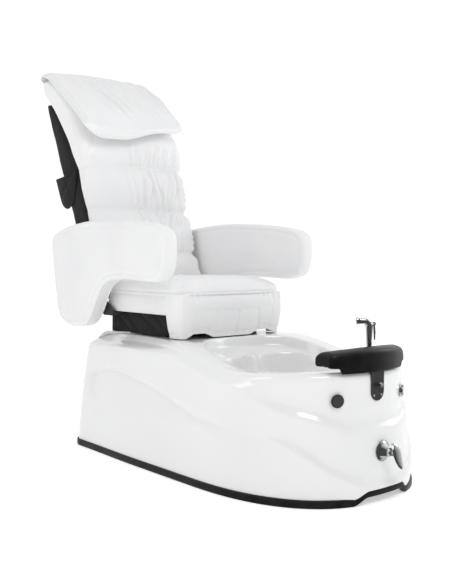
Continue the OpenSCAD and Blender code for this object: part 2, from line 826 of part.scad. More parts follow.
module slide_motor() {
  color([0.2, 0.2, 0.22]) at_origin() {
    translate([0, 0, 482]) rod_y(18, 850, 960);
    translate([-22, 956, 460]) cube([44, 40, 45]);
    translate([0, 0, 482]) rod_y(7, 990, 1120);
  }
}

// --- Armrests ------------------------------------------------------------------------

arm_outline = [
  [628, 800], [668, 832], [770, 850], [900, 862], [1080, 868],
  [1260, 856], [1395, 830], [1436, 795], [1424, 690], [1402, 570], [1376, 500],
  [1320, 463], [1240, 459], [1165, 474], [1112, 520], [1070, 584], [1020, 630],
  [940, 647], [820, 647], [700, 645], [640, 672], [623, 740]
];
arm_loop = smooth_loop(arm_outline, 3);
arm_inner_x = 275;
bush_r = 16;

module arm_side() {
  translate([0, arm_pivot_y, 0]) rotate([0, 0, arm_splay]) translate([0, -arm_pivot_y, 0]) children();
}

module arm_pad() {
  difference() {
    arm_side() translate([arm_inner_x, 0, 0]) padded_side([for (i = [len(arm_loop) - 1 : -1 : 0]) arm_loop[i]], arm_t, 16);
    translate([0, arm_pivot_y, arm_pivot_z]) rod_x(bush_r + 2, 250, 322);
  }
}

module arm_frame() {
  difference() {
    union() {
      translate([0, arm_pivot_y, arm_pivot_z]) rod_x(bush_r, arm_inner_x + 1, 321);
      arm_side() translate([arm_inner_x + 22, 700, 730]) cube([18, 610, 18]);
      arm_side() translate([arm_inner_x + 22, arm_pivot_y - 9, arm_pivot_z]) cube([18, 18, 100]);
    }
    translate([0, arm_pivot_y, arm_pivot_z]) rod_x(arm_pin_r + fit, 250, 319);
  }
}

module arm_frame_right() {
  color([0.4, 0.4, 0.42]) at_origin() mirror([1, 0, 0]) arm_frame();
}

module arm_frame_left() {
  color([0.4, 0.4, 0.42]) at_origin() arm_frame();
}

module arm_pad_right() {
  color("white") at_origin() mirror([1, 0, 0]) arm_pad();
}

module arm_pad_left() {
  color("white") at_origin() arm_pad();
}

// --- Backrest ------------------------------------------------------------------------

back_front = [
  [1192, 655], [1228, 770], [1256, 870], [1290, 960], [1304, 1060], [1318, 1150], [1338, 1222],
  [1380, 1296], [1456, 1392], [1545, 1462], [1612, 1490]
];
back_rear = [
  [1672, 1466], [1682, 1430], [1640, 1392], [1574, 1330], [1506, 1235], [1446, 1152],
  [1385, 1062], [1340, 965], [1300, 865], [1262, 765], [1232, 660]
];
back_loop = smooth_loop(concat(back_front, back_rear), 2);

module back_cushion() {
  loop = [for (i = [len(back_loop) - 1 : -1 : 0]) back_loop[i]];
  color("white") at_origin() translate([-back_half_w, 0, 0])
    padded_side(loop, 2 * back_half_w, 12);
}

shell_front = [
  [1236, 640], [1266, 765], [1304, 865], [1344, 965], [1389, 1062], [1450, 1152],
  [1510, 1235], [1578, 1330], [1644, 1392]
];
shell_rear = [
  [1672, 1392], [1694, 1376], [1679, 1328], [1633, 1202], [1586, 1084], [1530, 965], [1476, 850],
  [1428, 740], [1392, 655], [1378, 640]
];
shell_wall = 5;

module rear_shell() {
  outline = concat(shell_front, shell_rear);
  color([0.06, 0.06, 0.07]) at_origin() difference() {
    translate([-shell_half_w, 0, 0]) rotate([90, 0, 90]) linear_extrude(2 * shell_half_w)
      polygon(outline);
    translate([-shell_half_w + shell_wall, 0, 0]) rotate([90, 0, 90])
      linear_extrude(2 * (shell_half_w - shell_wall)) union() {
        offset(delta = -shell_wall) polygon(outline);
        intersection() {
          polygon(outline);
          translate([-18, 6]) offset(delta = -shell_wall) polygon(outline);
        }
      }
    for (s = [-1, 1]) translate([s * 208 - 8, 1190, 600]) cube([16, 160, 64]);
  }
}

module side_pocket() {
  color([0.1, 0.1, 0.1]) at_origin() translate([-shell_half_w - 18, 0, 0]) rotate([90, 0, 90])
    difference() {
      linear_extrude(17.5) polygon([[1420, 1082], [1592, 1056], [1546, 960], [1500, 930], [1440, 960]]);
      translate([0, 0, 3]) linear_extrude(11) polygon([[1426, 1100], [1584, 1076], [1540, 966], [1502, 938], [1446, 968]]);
    }
}

// Frame of the backrest, drawn upright at the hinge and then leaned back
module leaned() {
  translate([0, hinge_y, hinge_z]) rotate([-back_lean, 0, 0]) children();
}

frame_off = 78;
frame_start = 105;
frame_len = 635;
screw_r = 6;

module back_frame() {
  color([0.33, 0.34, 0.36]) at_origin() {
    leaned() both_sides() translate([196, frame_off, frame_start]) cube([18, 18, frame_len]);
    leaned() for (z = [114, 380, 634]) bar_along_x(196 + eps, frame_off, z, 18, 18);
    both_sides() translate([204, 0, 0]) rotate([90, 0, 90]) linear_extrude(8) hull() {
      translate([hinge_y, hinge_z]) circle(r = 20, $fn = 64);
      translate([1305, 640]) square([40, 20]);
    }
    translate([0, hinge_y, hinge_z]) both_sides() rod_x(hinge_r, 205, 246);
  }
}

rail_off = frame_off - 26;

module massage_rails() {
  color("silver") at_origin() leaned() {
    both_sides() translate([120, rail_off + 2, 116]) cylinder(r = 7, h = 530, $fn = 48);
    for (z = [116, 636]) bar_along_x(135, rail_off - 8, z, 34, 14);
  }
}

module massage_screw() {
  color("silver") at_origin() leaned() translate([0, rail_off + 2, 131])
    cylinder(r = screw_r, h = 504, $fn = 48);
}

module massage_motor() {
  color([0.2, 0.2, 0.22]) at_origin() leaned()
    translate([0, rail_off + 2, 651]) cylinder(r = 24, h = 64, $fn = 64);
}

carriage_z = 200;

module massage_carriage() {
  color([0.25, 0.26, 0.3]) at_origin() leaned() translate([0, rail_off + 2, carriage_z]) difference() {
    union() {
      translate([-140, -14, 0]) cube([280, 28, 50]);
      for (x = [-98, -42, 34, 90]) translate([x, -44, 10]) cube([8, 40, 30]);
      translate([0, -34, 25]) rod_x(6, -98, 98, 32);
    }
    both_sides() translate([120, 0, -10]) cylinder(r = 7 + fit, h = 80, $fn = 48);
    translate([0, 0, -10]) cylinder(r = screw_r + fit, h = 80, $fn = 48);
  }
}

roller_r = 19;

module massage_roller(side) {
  leaned() translate([side * 66, rail_off + 2 - 34, carriage_z + 25]) difference() {
    union() {
      rod_x(roller_r - 6, -22, 22, 64);
      rod_x(roller_r, -14, 14, 64);
    }
    rod_x(6 + fit, -30, 30, 32);
  }
}

module massage_roller_right() {
  color([0.15, 0.15, 0.15]) at_origin() massage_roller(-1);
}

module massage_roller_left() {
  color([0.15, 0.15, 0.15]) at_origin() massage_roller(1);
}

flap_half_w = 258;
flap_outline = [
  [1668, 1482], [1672, 1520], [1650, 1548], [1585, 1532], [1490, 1470], [1380, 1378],
  [1290, 1284], [1258, 1236], [1262, 1216], [1290, 1214], [1330, 1262], [1376, 1320],
  [1450, 1398], [1540, 1468], [1604, 1502], [1644, 1500]
];

module head_flap() {
  loop = smooth_loop(flap_outline, 2);
  color("white") at_origin() translate([-flap_half_w, 0, 0])
    padded_side([for (i = [len(loop) - 1 : -1 : 0]) loop[i]], 2 * flap_half_w, 10);
}

// --- The whole chair -------------------------------------------------------------------

tub_shell();
bumper_trim();
base_frame();
levelling_feet();
basin_strainer();
drain_outlet();
supply_tails();
jet_pump();
pump_pipework();
jet_covers();
footrest_bracket();
bracket_screws();
mixer_escutcheon();
button_bezels();
sprayer_collar();
seat_rails();
footrest_post();
footrest_pad();
bracket_plunger();
mixer_cone();
mixer_lever();
button_right();
button_left();
sprayer();
sprayer_trigger();
slide_runners();
seat_base_cover();
seat_frame();
seat_pan();
seat_cushion();
seat_apron();
slide_motor();
arm_frame_right();
arm_pad_right();
arm_frame_left();
arm_pad_left();
back_frame();
rear_shell();
back_cushion();
side_pocket();
massage_rails();
massage_screw();
massage_motor();
massage_carriage();
massage_roller_right();
massage_roller_left();
head_flap();
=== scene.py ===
"""Looks of the pedicure spa chair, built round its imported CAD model.

Metres, +Z up. The sitter faces -Y and the sitter's right hand is on -X. Side outlines are written
with Y measured from the toe of the tub, as in part.scad, and TOE moves them into the part's frame.
"""

import json
import math
import random

import bmesh
import bpy
import numpy as np
from mathutils import Matrix, Vector, noise
from mathutils.geometry import delaunay_2d_cdt


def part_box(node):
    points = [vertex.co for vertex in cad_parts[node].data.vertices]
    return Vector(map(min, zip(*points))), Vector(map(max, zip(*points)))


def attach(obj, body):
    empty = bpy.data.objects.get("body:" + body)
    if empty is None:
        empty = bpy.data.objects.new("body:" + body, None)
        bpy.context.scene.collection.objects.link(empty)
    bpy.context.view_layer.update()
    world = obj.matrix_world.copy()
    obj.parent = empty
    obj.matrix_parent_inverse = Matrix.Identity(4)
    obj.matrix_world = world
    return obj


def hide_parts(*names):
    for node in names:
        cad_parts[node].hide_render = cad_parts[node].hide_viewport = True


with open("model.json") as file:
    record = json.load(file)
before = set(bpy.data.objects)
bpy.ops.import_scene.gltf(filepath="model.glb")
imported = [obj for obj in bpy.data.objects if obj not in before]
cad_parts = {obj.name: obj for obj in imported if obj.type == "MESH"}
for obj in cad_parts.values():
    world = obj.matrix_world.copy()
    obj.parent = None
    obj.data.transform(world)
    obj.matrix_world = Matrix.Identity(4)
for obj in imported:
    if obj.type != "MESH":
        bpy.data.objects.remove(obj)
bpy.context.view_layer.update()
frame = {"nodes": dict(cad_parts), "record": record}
random.seed(7)

TUB_LO, TUB_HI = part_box("tub_shell")
TOE = TUB_LO.y
TUB_HALF_W = TUB_HI.x
TUB_LEN = TUB_HI.y - TUB_LO.y

# --- Camera, stage and light ----------------------------------------------------------------

CAMERA_AZIMUTH = math.radians(40.2)
CAMERA_PITCH = math.radians(2.476)
CAMERA_PLACE = (-1.897, TOE - 1.509, 0.7275)
CAMERA_LENS = 49.315
FLOOR_GLOW = 0.4

# How the studio's brightness rises from the camera's side to the far side, and what shiny things see of it
WORLD_FALL = (0.0, 0.75, 0.52, 1.06)
SHINE_FALL = (-0.35, 0.65, 0.08, 1.0)


def make_camera():
    data = bpy.data.cameras.new("camera")
    data.lens = CAMERA_LENS
    data.sensor_width = 36
    camera = bpy.data.objects.new("camera", data)
    camera.location = CAMERA_PLACE
    forward = Vector((
        math.sin(CAMERA_AZIMUTH) * math.cos(CAMERA_PITCH),
        math.cos(CAMERA_AZIMUTH) * math.cos(CAMERA_PITCH),
        -math.sin(CAMERA_PITCH),
    ))
    camera.rotation_mode = "QUATERNION"
    camera.rotation_quaternion = forward.to_track_quat("-Z", "Y")
    bpy.context.scene.collection.objects.link(camera)
    bpy.context.scene.camera = camera


def make_light(name, place, target, size, power, tint=(1, 1, 1)):
    data = bpy.data.lights.new(name, "AREA")
    data.shape = "RECTANGLE"
    data.size, data.size_y = size
    data.energy = power
    data.color = tint
    light = bpy.data.objects.new(name, data)
    light.location = place
    light.rotation_mode = "QUATERNION"
    light.rotation_quaternion = (Vector(target) - Vector(place)).to_track_quat("-Z", "Y")
    bpy.context.scene.collection.objects.link(light)


def make_world():
    """A white studio: bright behind the chair, softer on the camera's side and dark there for chrome."""
    world = bpy.data.worlds.new("studio")
    world.use_nodes = True
    tree = world.node_tree
    background = tree.nodes["Background"]
    direction = tree.nodes.new("ShaderNodeTexCoord").outputs["Generated"]
    facing = tree.nodes.new("ShaderNodeVectorMath")
    facing.operation = "DOT_PRODUCT"
    facing.inputs[1].default_value = (math.sin(CAMERA_AZIMUTH), math.cos(CAMERA_AZIMUTH), 0.25)
    tree.links.new(direction, facing.inputs[0])
    strength = tree.nodes.new("ShaderNodeMix")
    tree.links.new(tree.nodes.new("ShaderNodeLightPath").outputs["Is Glossy Ray"], strength.inputs["Factor"])
    for socket, limits in (("A", WORLD_FALL), ("B", SHINE_FALL)):
        fall = tree.nodes.new("ShaderNodeMapRange")
        for name, value in zip(("From Min", "From Max", "To Min", "To Max"), limits):
            fall.inputs[name].default_value = value
        tree.links.new(facing.outputs["Value"], fall.inputs["Value"])
        tree.links.new(fall.outputs["Result"], strength.inputs[socket])
    tree.links.new(strength.outputs["Result"], background.inputs["Strength"])
    background.inputs["Color"].default_value = (0.985, 0.99, 1, 1)
    bpy.context.scene.world = world


def make_stage():
    make_world()
    bpy.ops.mesh.primitive_plane_add(size=40, location=(0, 0, -0.001))
    floor = bpy.context.object
    floor.name = "floor"
    paper = simple_material("floor", (0.97, 0.97, 0.97), 0.9)
    shader = paper.node_tree.nodes["Principled BSDF"]
    shader.inputs["Emission Color"].default_value = (1, 1, 1, 1)
    shader.inputs["Emission Strength"].default_value = FLOOR_GLOW
    floor.data.materials.append(paper)
    floor.visible_glossy = False
    bpy.context.scene.view_settings.view_transform = "Standard"
    make_light("key", (-1.0, -2.6, 3.6), (0, 0, 0.6), (1.6, 1.6), 40)
    make_light("side", (-3.2, 0.4, 2.6), (0, 0.2, 0.5), (0.9, 2.2), 12)
    make_light("fill", (3.2, -1.6, 2.2), (0, 0, 0.7), (1.4, 1.8), 16, (0.93, 0.96, 1))


# --- Materials ------------------------------------------------------------------------------

def simple_material(name, colour, roughness, metallic=0.0):
    material = bpy.data.materials.new(name)
    material.use_nodes = True
    shader = material.node_tree.nodes["Principled BSDF"]
    shader.inputs["Base Color"].default_value = (*colour, 1)
    shader.inputs["Roughness"].default_value = roughness
    shader.inputs["Metallic"].default_value = metallic
    return material


class Nodes:
    """Short ways to add and link nodes in a material."""

    def __init__(self, material):
        self.tree = material.node_tree
        self.shader = self.tree.nodes["Principled BSDF"]
        self.coords = self.tree.nodes.new("ShaderNodeTexCoord").outputs["Object"]

    def link(self, source, target):
        self.tree.links.new(source, target)

    def add(self, kind, inputs=None, **settings):
        node = self.tree.nodes.new(kind)
        for name, value in settings.items():
            setattr(node, name, value)
        for name, value in (inputs or {}).items():
            if isinstance(value, bpy.types.NodeSocket):
                self.link(value, node.inputs[name])
            else:
                node.inputs[name].default_value = value
        return node

    def noise(self, scale, detail=3.0, vector=None):
        inputs = {"Vector": vector or self.coords, "Scale": scale, "Detail": detail}
        return self.add("ShaderNodeTexNoise", inputs).outputs["Fac"]

    def ramp(self, value, low, high, start=0.0, end=1.0):
        node = self.add("ShaderNodeMapRange", {"Value": value})
        for name, number in zip(("From Min", "From Max", "To Min", "To Max"), (low, high, start, end)):
            node.inputs[name].default_value = number
        return node.outputs["Result"]

    def mix(self, factor, first, second):
        node = self.add("ShaderNodeMix", data_type="RGBA")
        self.link(factor, node.inputs["Factor"])
        node.inputs["A"].default_value = (*first, 1)
        node.inputs["B"].default_value = (*second, 1)
        return node.outputs["Result"]

    def math(self, operation, first, second):
        node = self.add("ShaderNodeMath", operation=operation)
        for socket, value in zip(node.inputs, (first, second)):
            if isinstance(value, bpy.types.NodeSocket):
                self.link(value, socket)
            else:
                socket.default_value = value
        return node.outputs[0]

    def bump(self, height, strength, distance, before=None):
        node = self.add("ShaderNodeBump", {"Height": height, "Strength": strength, "Distance": distance})
        if before:
            self.link(before, node.inputs["Normal"])
        return node.outputs["Normal"]

    def set(self, **values):
        for name, value in values.items():
            socket = self.shader.inputs[name.replace("_", " ")]
            if isinstance(value, bpy.types.NodeSocket):
                self.link(value, socket)
            else:
                socket.default_value = value


def acrylic_material():
    material = simple_material("acrylic", (0.9, 0.9, 0.9), 0.14)
    n = Nodes(material)
    tone = n.ramp(n.noise(2.2, 2), 0.3, 0.7)
    smears = n.ramp(n.noise(9, 4), 0.35, 0.7, 0.10, 0.19)
    n.set(
        Base_Color=n.mix(tone, (0.87, 0.87, 0.865), (0.9, 0.9, 0.895)),
        Roughness=smears,
        Coat_Weight=0.6,
        Coat_Roughness=0.04,
        Normal=n.bump(n.noise(60, 2), 0.05, 0.002),
    )
    return material


def vinyl_material():
    material = simple_material("vinyl", (0.9, 0.9, 0.9), 0.42)
    n = Nodes(material)
    cells = n.add("ShaderNodeTexVoronoi", {"Vector": n.coords, "Scale": 520.0}, feature="DISTANCE_TO_EDGE")
    grain = n.ramp(cells.outputs["Distance"], 0.0, 0.12)
    fine = n.noise(1400, 2)
    soft = n.noise(26, 4)
    n.set(
        Base_Color=n.mix(n.ramp(n.noise(5, 3), 0.3, 0.7), (0.86, 0.86, 0.865), (0.9, 0.9, 0.9)),
        Roughness=n.ramp(fine, 0.3, 0.7, 0.38, 0.5),
        Sheen_Weight=0.15,
        Sheen_Roughness=0.5,
        Normal=n.bump(grain, 0.16, 0.0006, n.bump(soft, 0.25, 0.004)),
    )
    return material


def cloth_material():
    material = simple_material("cloth", (0.02, 0.02, 0.022), 0.85)
    n = Nodes(material)
    threads = [
        n.add(
            "ShaderNodeTexWave",
            {"Vector": n.coords, "Scale": 260.0, "Distortion": 0.6, "Detail": 1.0},
            bands_direction=direction,
        ).outputs["Fac"]
        for direction in ("X", "Z", "Y")
    ]
    weave = n.math("MAXIMUM", n.math("MULTIPLY", threads[0], threads[2]), threads[1])
    fuzz = n.noise(900, 3)
    n.set(
        Base_Color=n.mix(n.math("MULTIPLY", weave, fuzz), (0.012, 0.012, 0.013), (0.045, 0.045, 0.048)),
        Roughness=n.ramp(fuzz, 0.2, 0.8, 0.75, 0.95),
        Sheen_Weight=0.08,
        Sheen_Roughness=0.4,
        Specular_IOR_Level=0.3,
        Normal=n.bump(weave, 0.35, 0.0006, n.bump(n.noise(14, 3), 0.2, 0.004)),
    )
    return material


def moulded_material(name, dark, light, roughness=(0.36, 0.5), grain=700.0, depth=0.0004, shine=0.5):
    material = simple_material(name, light, 0.45)
    n = Nodes(material)
    fine = n.noise(grain, 3)
    n.set(
        Base_Color=n.mix(n.ramp(n.noise(30, 4), 0.35, 0.65), dark, light),
        Roughness=n.ramp(n.noise(18, 5), 0.3, 0.7, *roughness),
        Specular_IOR_Level=shine,
        Normal=n.bump(fine, 0.3, depth),
    )
    return material


def speckled_material():
    material = simple_material("speckled", (0.12, 0.12, 0.125), 0.4, 0.7)
    n = Nodes(material)
    cells = n.add("ShaderNodeTexVoronoi", {"Vector": n.coords, "Scale": 620.0})
    specks = n.ramp(cells.outputs["Distance"], 0.18, 0.3, 1.0, 0.0)
    sparse = n.math("MULTIPLY", specks, n.ramp(n.noise(240, 2), 0.5, 0.6))
    n.set(
        Base_Color=n.mix(sparse, (0.07, 0.07, 0.073), (0.33, 0.33, 0.34)),
        Roughness=n.ramp(n.noise(40, 4), 0.3, 0.7, 0.3, 0.5),
        Normal=n.bump(n.noise(800, 3), 0.3, 0.0005),
    )
    return material


def metal_material(name, colour, roughness, streak=(30, 30, 30), depth=0.0002):
    material = simple_material(name, colour, sum(roughness) / 2, 1.0)
    n = Nodes(material)
    stretch = n.add("ShaderNodeMapping", {"Vector": n.coords, "Scale": streak}).outputs["Vector"]
    marks = n.noise(12, 5, stretch)
    dim = tuple(c * 0.88 for c in colour)
    n.set(
        Base_Color=n.mix(n.ramp(marks, 0.3, 0.7), dim, colour),
        Roughness=n.ramp(marks, 0.25, 0.75, *roughness),
        Normal=n.bump(marks, 0.05, depth),
    )
    return material


def wood_material():
    material = simple_material("plywood", (0.55, 0.4, 0.24), 0.6)
    n = Nodes(material)
    stretch = n.add("ShaderNodeMapping", {"Vector": n.coords, "Scale": (3, 40, 3)}).outputs["Vector"]
    grain = n.noise(4, 6, stretch)
    n.set(
        Base_Color=n.mix(n.ramp(grain, 0.3, 0.7), (0.42, 0.29, 0.16), (0.66, 0.5, 0.32)),
        Roughness=n.ramp(grain, 0.3, 0.7, 0.5, 0.7),
        Normal=n.bump(grain, 0.3, 0.0006),
    )
    return material


MATERIALS = {
    "acrylic_white": acrylic_material(),
    "vinyl_white": vinyl_material(),
    "bumper_black": moulded_material("bumper", (0.01, 0.01, 0.01), (0.018, 0.018, 0.018), (0.32, 0.45),
                                     shine=0.25),
    "frame_steel": moulded_material("powder_coat", (0.05, 0.052, 0.057), (0.075, 0.077, 0.082), (0.4, 0.55),
                                    500),
    "fixing_steel": metal_material("zinc", (0.6, 0.6, 0.61), (0.28, 0.45), (30, 4, 30)),
    "chrome": metal_material("chrome", (0.74, 0.75, 0.77), (0.04, 0.09)),
    "brass": metal_material("brass", (0.72, 0.5, 0.22), (0.22, 0.36)),
    "cloth_black": cloth_material(),
    "pad_black": moulded_material("pad_skin", (0.006, 0.006, 0.007), (0.011, 0.011, 0.012), (0.3, 0.4), 420,
                                  shine=0.3),
    "bracket_grey": speckled_material(),
    "motor_black": moulded_material("motor_case", (0.02, 0.02, 0.022), (0.035, 0.035, 0.037), (0.45, 0.6)),
    "pipe_grey": moulded_material("pipe", (0.48, 0.48, 0.46), (0.56, 0.56, 0.54), (0.35, 0.5)),
    "drain_black": moulded_material("drain", (0.02, 0.02, 0.02), (0.03, 0.03, 0.03), (0.4, 0.55)),
    "plywood": wood_material(),
    "roller_rubber": moulded_material("roller", (0.03, 0.03, 0.03), (0.045, 0.045, 0.045), (0.55, 0.7)),
}


def dress_cad_nodes():
    slots = {s["node"]: s["material_slot"] for s in frame["record"]["subparts"]}
    for node, obj in frame["nodes"].items():
        obj.data.materials.clear()
        obj.data.materials.append(MATERIALS[slots[node]])


# --- Mesh tools -----------------------------------------------------------------------------

def make_piece(name, verts, faces, slot, body, *nodes):
    """A new mesh piece from points measured from the toe, riding on a body."""
    mesh = bpy.data.meshes.new(name)
    verts = np.asarray(verts, float) + (0, TOE, 0)
    mesh.from_pydata(verts.tolist(), [], [list(map(int, f)) for f in faces])
    mesh.update()
    piece = bpy.data.objects.new(name, mesh)
    bpy.context.scene.collection.objects.link(piece)
    return finish_piece(piece, slot, body, *nodes)


def finish_piece(piece, slot, body, *nodes):
    """Smooth shading, material, body and the CAD nodes the piece stands for."""
    mend = bmesh.new()
    mend.from_mesh(piece.data)
    bmesh.ops.recalc_face_normals(mend, faces=mend.faces)
    mend.to_mesh(piece.data)
    mend.free()
    piece.data.polygons.foreach_set("use_smooth", [True] * len(piece.data.polygons))
    piece.data.materials.clear()
    piece.data.materials.append(MATERIALS[slot])
    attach(piece, body)
    if nodes:
        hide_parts(*nodes)
    return piece


def apply_modifiers(piece):
    """The piece with its modifiers turned into mesh."""
    graph = bpy.context.evaluated_depsgraph_get()
    done = bpy.data.meshes.new_from_object(piece.evaluated_get(graph))
    piece.modifiers.clear()
    piece.data = done
    return piece


def thicken(piece, thickness, offset):
    """The piece with a wall added, inside its surface where offset is -1 and outside where it is 1."""
    shell = piece.modifiers.new("shell", "SOLIDIFY")
    shell.thickness, shell.offset, shell.use_even_offset = thickness, offset, False
    return apply_modifiers(piece)


def round_piece(piece, slot, body, *nodes):
    """The piece with each face divided once and its surface rounded."""
    piece.modifiers.new("smooth", "SUBSURF").levels = 1
    apply_modifiers(piece)
    return finish_piece(piece, slot, body, *nodes)


def make_round_piece(name, verts, faces, *rest):
    return round_piece(make_piece(name, verts, faces, *rest), *rest)


def tube_faces(rings, points, close_rings=False):
    """Quads of a tube: each ring has that many points and closes on itself."""
    i = np.arange(points)
    j = (i + 1) % points
    last = rings if close_rings else rings - 1
    faces = []
    for r in range(last):
        here, there = r * points, (r + 1) % rings * points
        faces.append(np.stack([here + i, here + j, there + j, there + i], 1))
    return np.concatenate(faces)


def sheet_faces(rows, cols):
    """Quads of an open sheet, row by row."""
    r, c = np.meshgrid(np.arange(rows - 1), np.arange(cols - 1), indexing="ij")
    a = (r * cols + c).ravel()
    return np.stack([a, a + 1, a + cols + 1, a + cols], 1)


def ease(value, low, high):
    """A smooth step from 0 at low to 1 at high."""
    t = np.clip((np.asarray(value, float) - low) / (high - low), 0, 1)
    return t * t * (3 - 2 * t)


def blob(value, centre, width):
    """A bell of unit height."""
    return np.exp(-(((np.asarray(value, float) - centre) / width) ** 2))


def unit(vectors):
    return vectors / np.linalg.norm(vectors, axis=1)[:, None]


def even_steps(line, count, endpoint=True):
    """Points at even steps along the length of a line of points."""
    length = np.concatenate([[0], np.cumsum(np.linalg.norm(np.diff(line, axis=0), axis=1))])
    steps = np.linspace(0, length[-1], count, endpoint=endpoint)
    return np.stack([np.interp(steps, length, line[:, k]) for k in range(line.shape[1])], 1)


def smooth_line(points, count, closed=False):
    """A Catmull-Rom curve through the points, at even steps along its length."""
    p = np.asarray(points, float)
    if closed:
        padded = np.concatenate([p[-1:], p, p[:2]])
    else:
        padded = np.concatenate([2 * p[:1] - p[1:2], p, 2 * p[-1:] - p[-2:-1]])
    u = np.linspace(0, 1, 24, endpoint=False)[:, None]
    curve = []
    for a, b, c, d in zip(padded, padded[1:], padded[2:], padded[3:]):
        curve.append(0.5 * (2 * b + (c - a) * u + (2 * a - 5 * b + 4 * c - d) * u**2
                            + (3 * b - a - 3 * c + d) * u**3))
    return even_steps(np.concatenate(curve + [padded[-2:-1]]), count, not closed)


# --- Tub ------------------------------------------------------------------------------------

TOE_LEN = 0.5
TOE_POWER = 2 / 2.5
HEEL_R = 0.08
HEEL_TAPER = 0.009
BUMPER_H = 0.024
ARCH_RISE = 0.02
RIM_TOE, RIM_DIP, DECK = 0.389, 0.378, 0.440
LIP_HALF = (0.25, 0.284)
LIP_Y = 0.416
BASIN_FLOOR = 0.16
MIXER_Z = 0.147
SPRAYER_X, SPRAYER_Y = 0.057, 0.109
SPRAYER_TURN = math.radians(139.8)
OUTLINE_POINTS = 190
TUB_WALL = 0.005

# Side view of the moulded lines on the tub's wall: distance from the toe, height
LEDGE = [(0.0, 0.228), (0.023, 0.236), (0.046, 0.255), (0.095, 0.274), (0.164, 0.292), (0.253, 0.319),
         (0.34, 0.345), (0.445, 0.375), (0.551, 0.407), (0.66, 0.43)]
SWOOSH_TOP = [(0.0, 0.045), (0.008, 0.062), (0.027, 0.089), (0.061, 0.123), (0.096, 0.157), (0.147, 0.183),
              (0.213, 0.197), (0.315, 0.209), (0.443, 0.222), (0.549, 0.24), (0.679, 0.275), (0.821, 0.304),
              (0.958, 0.32), (1.063, 0.318), (1.174, 0.28), (1.21, 0.252)]
SWOOSH_FOOT = [(0.12, -0.02), (0.177, 0.032), (0.24, 0.084), (0.304, 0.127), (0.362, 0.163), (0.458, 0.187),
               (0.58, 0.19), (0.749, 0.168), (0.94, 0.149), (1.045, 0.152), (1.121, 0.18), (1.154, 0.21),
               (1.21, 0.24)]


def along(line, y):
    """Height of a side line at a distance from the toe."""
    points = smooth_line(line, 200)
    return np.interp(y, points[:, 0], points[:, 1])


def tub_plan():
    """Half of the tub's outline at the floor, from the toe round to the heel.

    Returns the half, then the whole outline's points and their outward directions.
    """
    a = np.linspace(0, math.pi / 2, 90)
    toe = np.stack([TUB_HALF_W * np.sin(a) ** TOE_POWER, TOE_LEN * (1 - np.cos(a) ** TOE_POWER)], 1)
    y = np.linspace(TOE_LEN, TUB_LEN - HEEL_R, 40)[1:]
    side = np.stack([TUB_HALF_W - HEEL_TAPER * ease(y, 0.8, TUB_LEN - HEEL_R), y], 1)
    heel_x = TUB_HALF_W - HEEL_TAPER - HEEL_R
    corner = np.stack([heel_x + HEEL_R * np.cos(a[1:]), TUB_LEN - HEEL_R + HEEL_R * np.sin(a[1:])], 1)
    line = np.concatenate([toe, side, corner, [[0, TUB_LEN]]])
    half = even_steps(line, OUTLINE_POINTS)
    ends = np.concatenate([[half[1] * (-1, 1)], half, [half[-2] * (-1, 1)]])
    tangent = ends[2:] - ends[:-2]
    out = unit(np.stack([tangent[:, 1], -tangent[:, 0]], 1))
    both, outward = (np.concatenate([part, part[-2:0:-1] * (-1, 1)]) for part in (half, out))
    return half, both, outward


def rim_height(y):
    """Height of the rim: down from the toe to its dip, then up to the deck and a little down to the heel."""
    return (RIM_DIP + (RIM_TOE - RIM_DIP) * (1 - ease(y, 0, 0.33)) + (DECK - RIM_DIP) * ease(y, 0.33, 0.68)
            - 0.005 * ease(y, 1.0, TUB_LEN))


def arch_height(x, y):
    """Rise of the foot of the tub at the toe, over the floor."""
    rise = np.where(x < 0, ease(-x, 0.07, 0.125), ease(x, 0.085, 0.112))
    return np.where(y > 0.06, 0, ARCH_RISE * (1 - rise))


def wall_inset(y, z, bottom, rim):
    """How far the wall stands inside the outline at one station, for an array of heights."""
    rear = float(ease(y, 0.45, 0.9))
    heel = float(ease(y, 1.02, 1.22))
    ledge = min(float(along(LEDGE, y)), rim - 0.034)
    flat = float(ease(rim - ledge, 0.034, 0.09))

    def part(toe, back, end):
        return toe + (back - toe) * rear + end * heel

    heights = [bottom, 0.125, 0.2, ledge - 0.016, ledge + 0.004, rim - 0.022 - 0.03 * rear,
               rim - 0.012 - 0.012 * rear, rim - 0.004 - 0.004 * rear, rim]
    insets = [0, part(0.007, 0.012, -0.003), part(0.011, 0.018, -0.002), part(0.014, 0.026, 0.016),
              part(0.014 + 0.015 * flat, 0.036, 0.022), part(0.031, 0.052, 0.014),
              part(0.033, 0.074, 0.008), part(0.038, 0.094, 0.008), part(0.05, 0.112, 0.01)]
    order = np.maximum.accumulate(np.array(heights) + np.arange(9) * 1e-5)
    blur = (-0.007, -0.0035, 0, 0.0035, 0.007)
    inset = sum(np.interp(z + d, order, insets) for d in blur) / len(blur)
    return inset + swoosh_depth(y, z)


def swoosh_depth(y, z):
    """Depth of the scoop between the two swoosh lines, less the roll that leads into it at the toe."""
    top, foot = float(along(SWOOSH_TOP, y)), float(along(SWOOSH_FOOT, max(y, 0.12)))
    fade = float(ease(y, 0.12, 0.42) * (1 - ease(y, 1.14, 1.2)))
    scoop = 0.013 * fade * (0.55 + 0.45 * float(ease(y, 0.4, 0.9)))
    below = ease(top - z, -0.012, 0.014)
    down = np.clip((top - z) / max(top - foot, 0.02), 0, 1)
    depth = scoop * below * (1 - down**1.6)
    bulge = 0.009 * float(1 - ease(y, 0.1, 0.24))
    depth = depth - bulge * ease(top - z, -0.012, 0.006) * (1 - ease(top - z, 0.02, 0.09))
    return depth


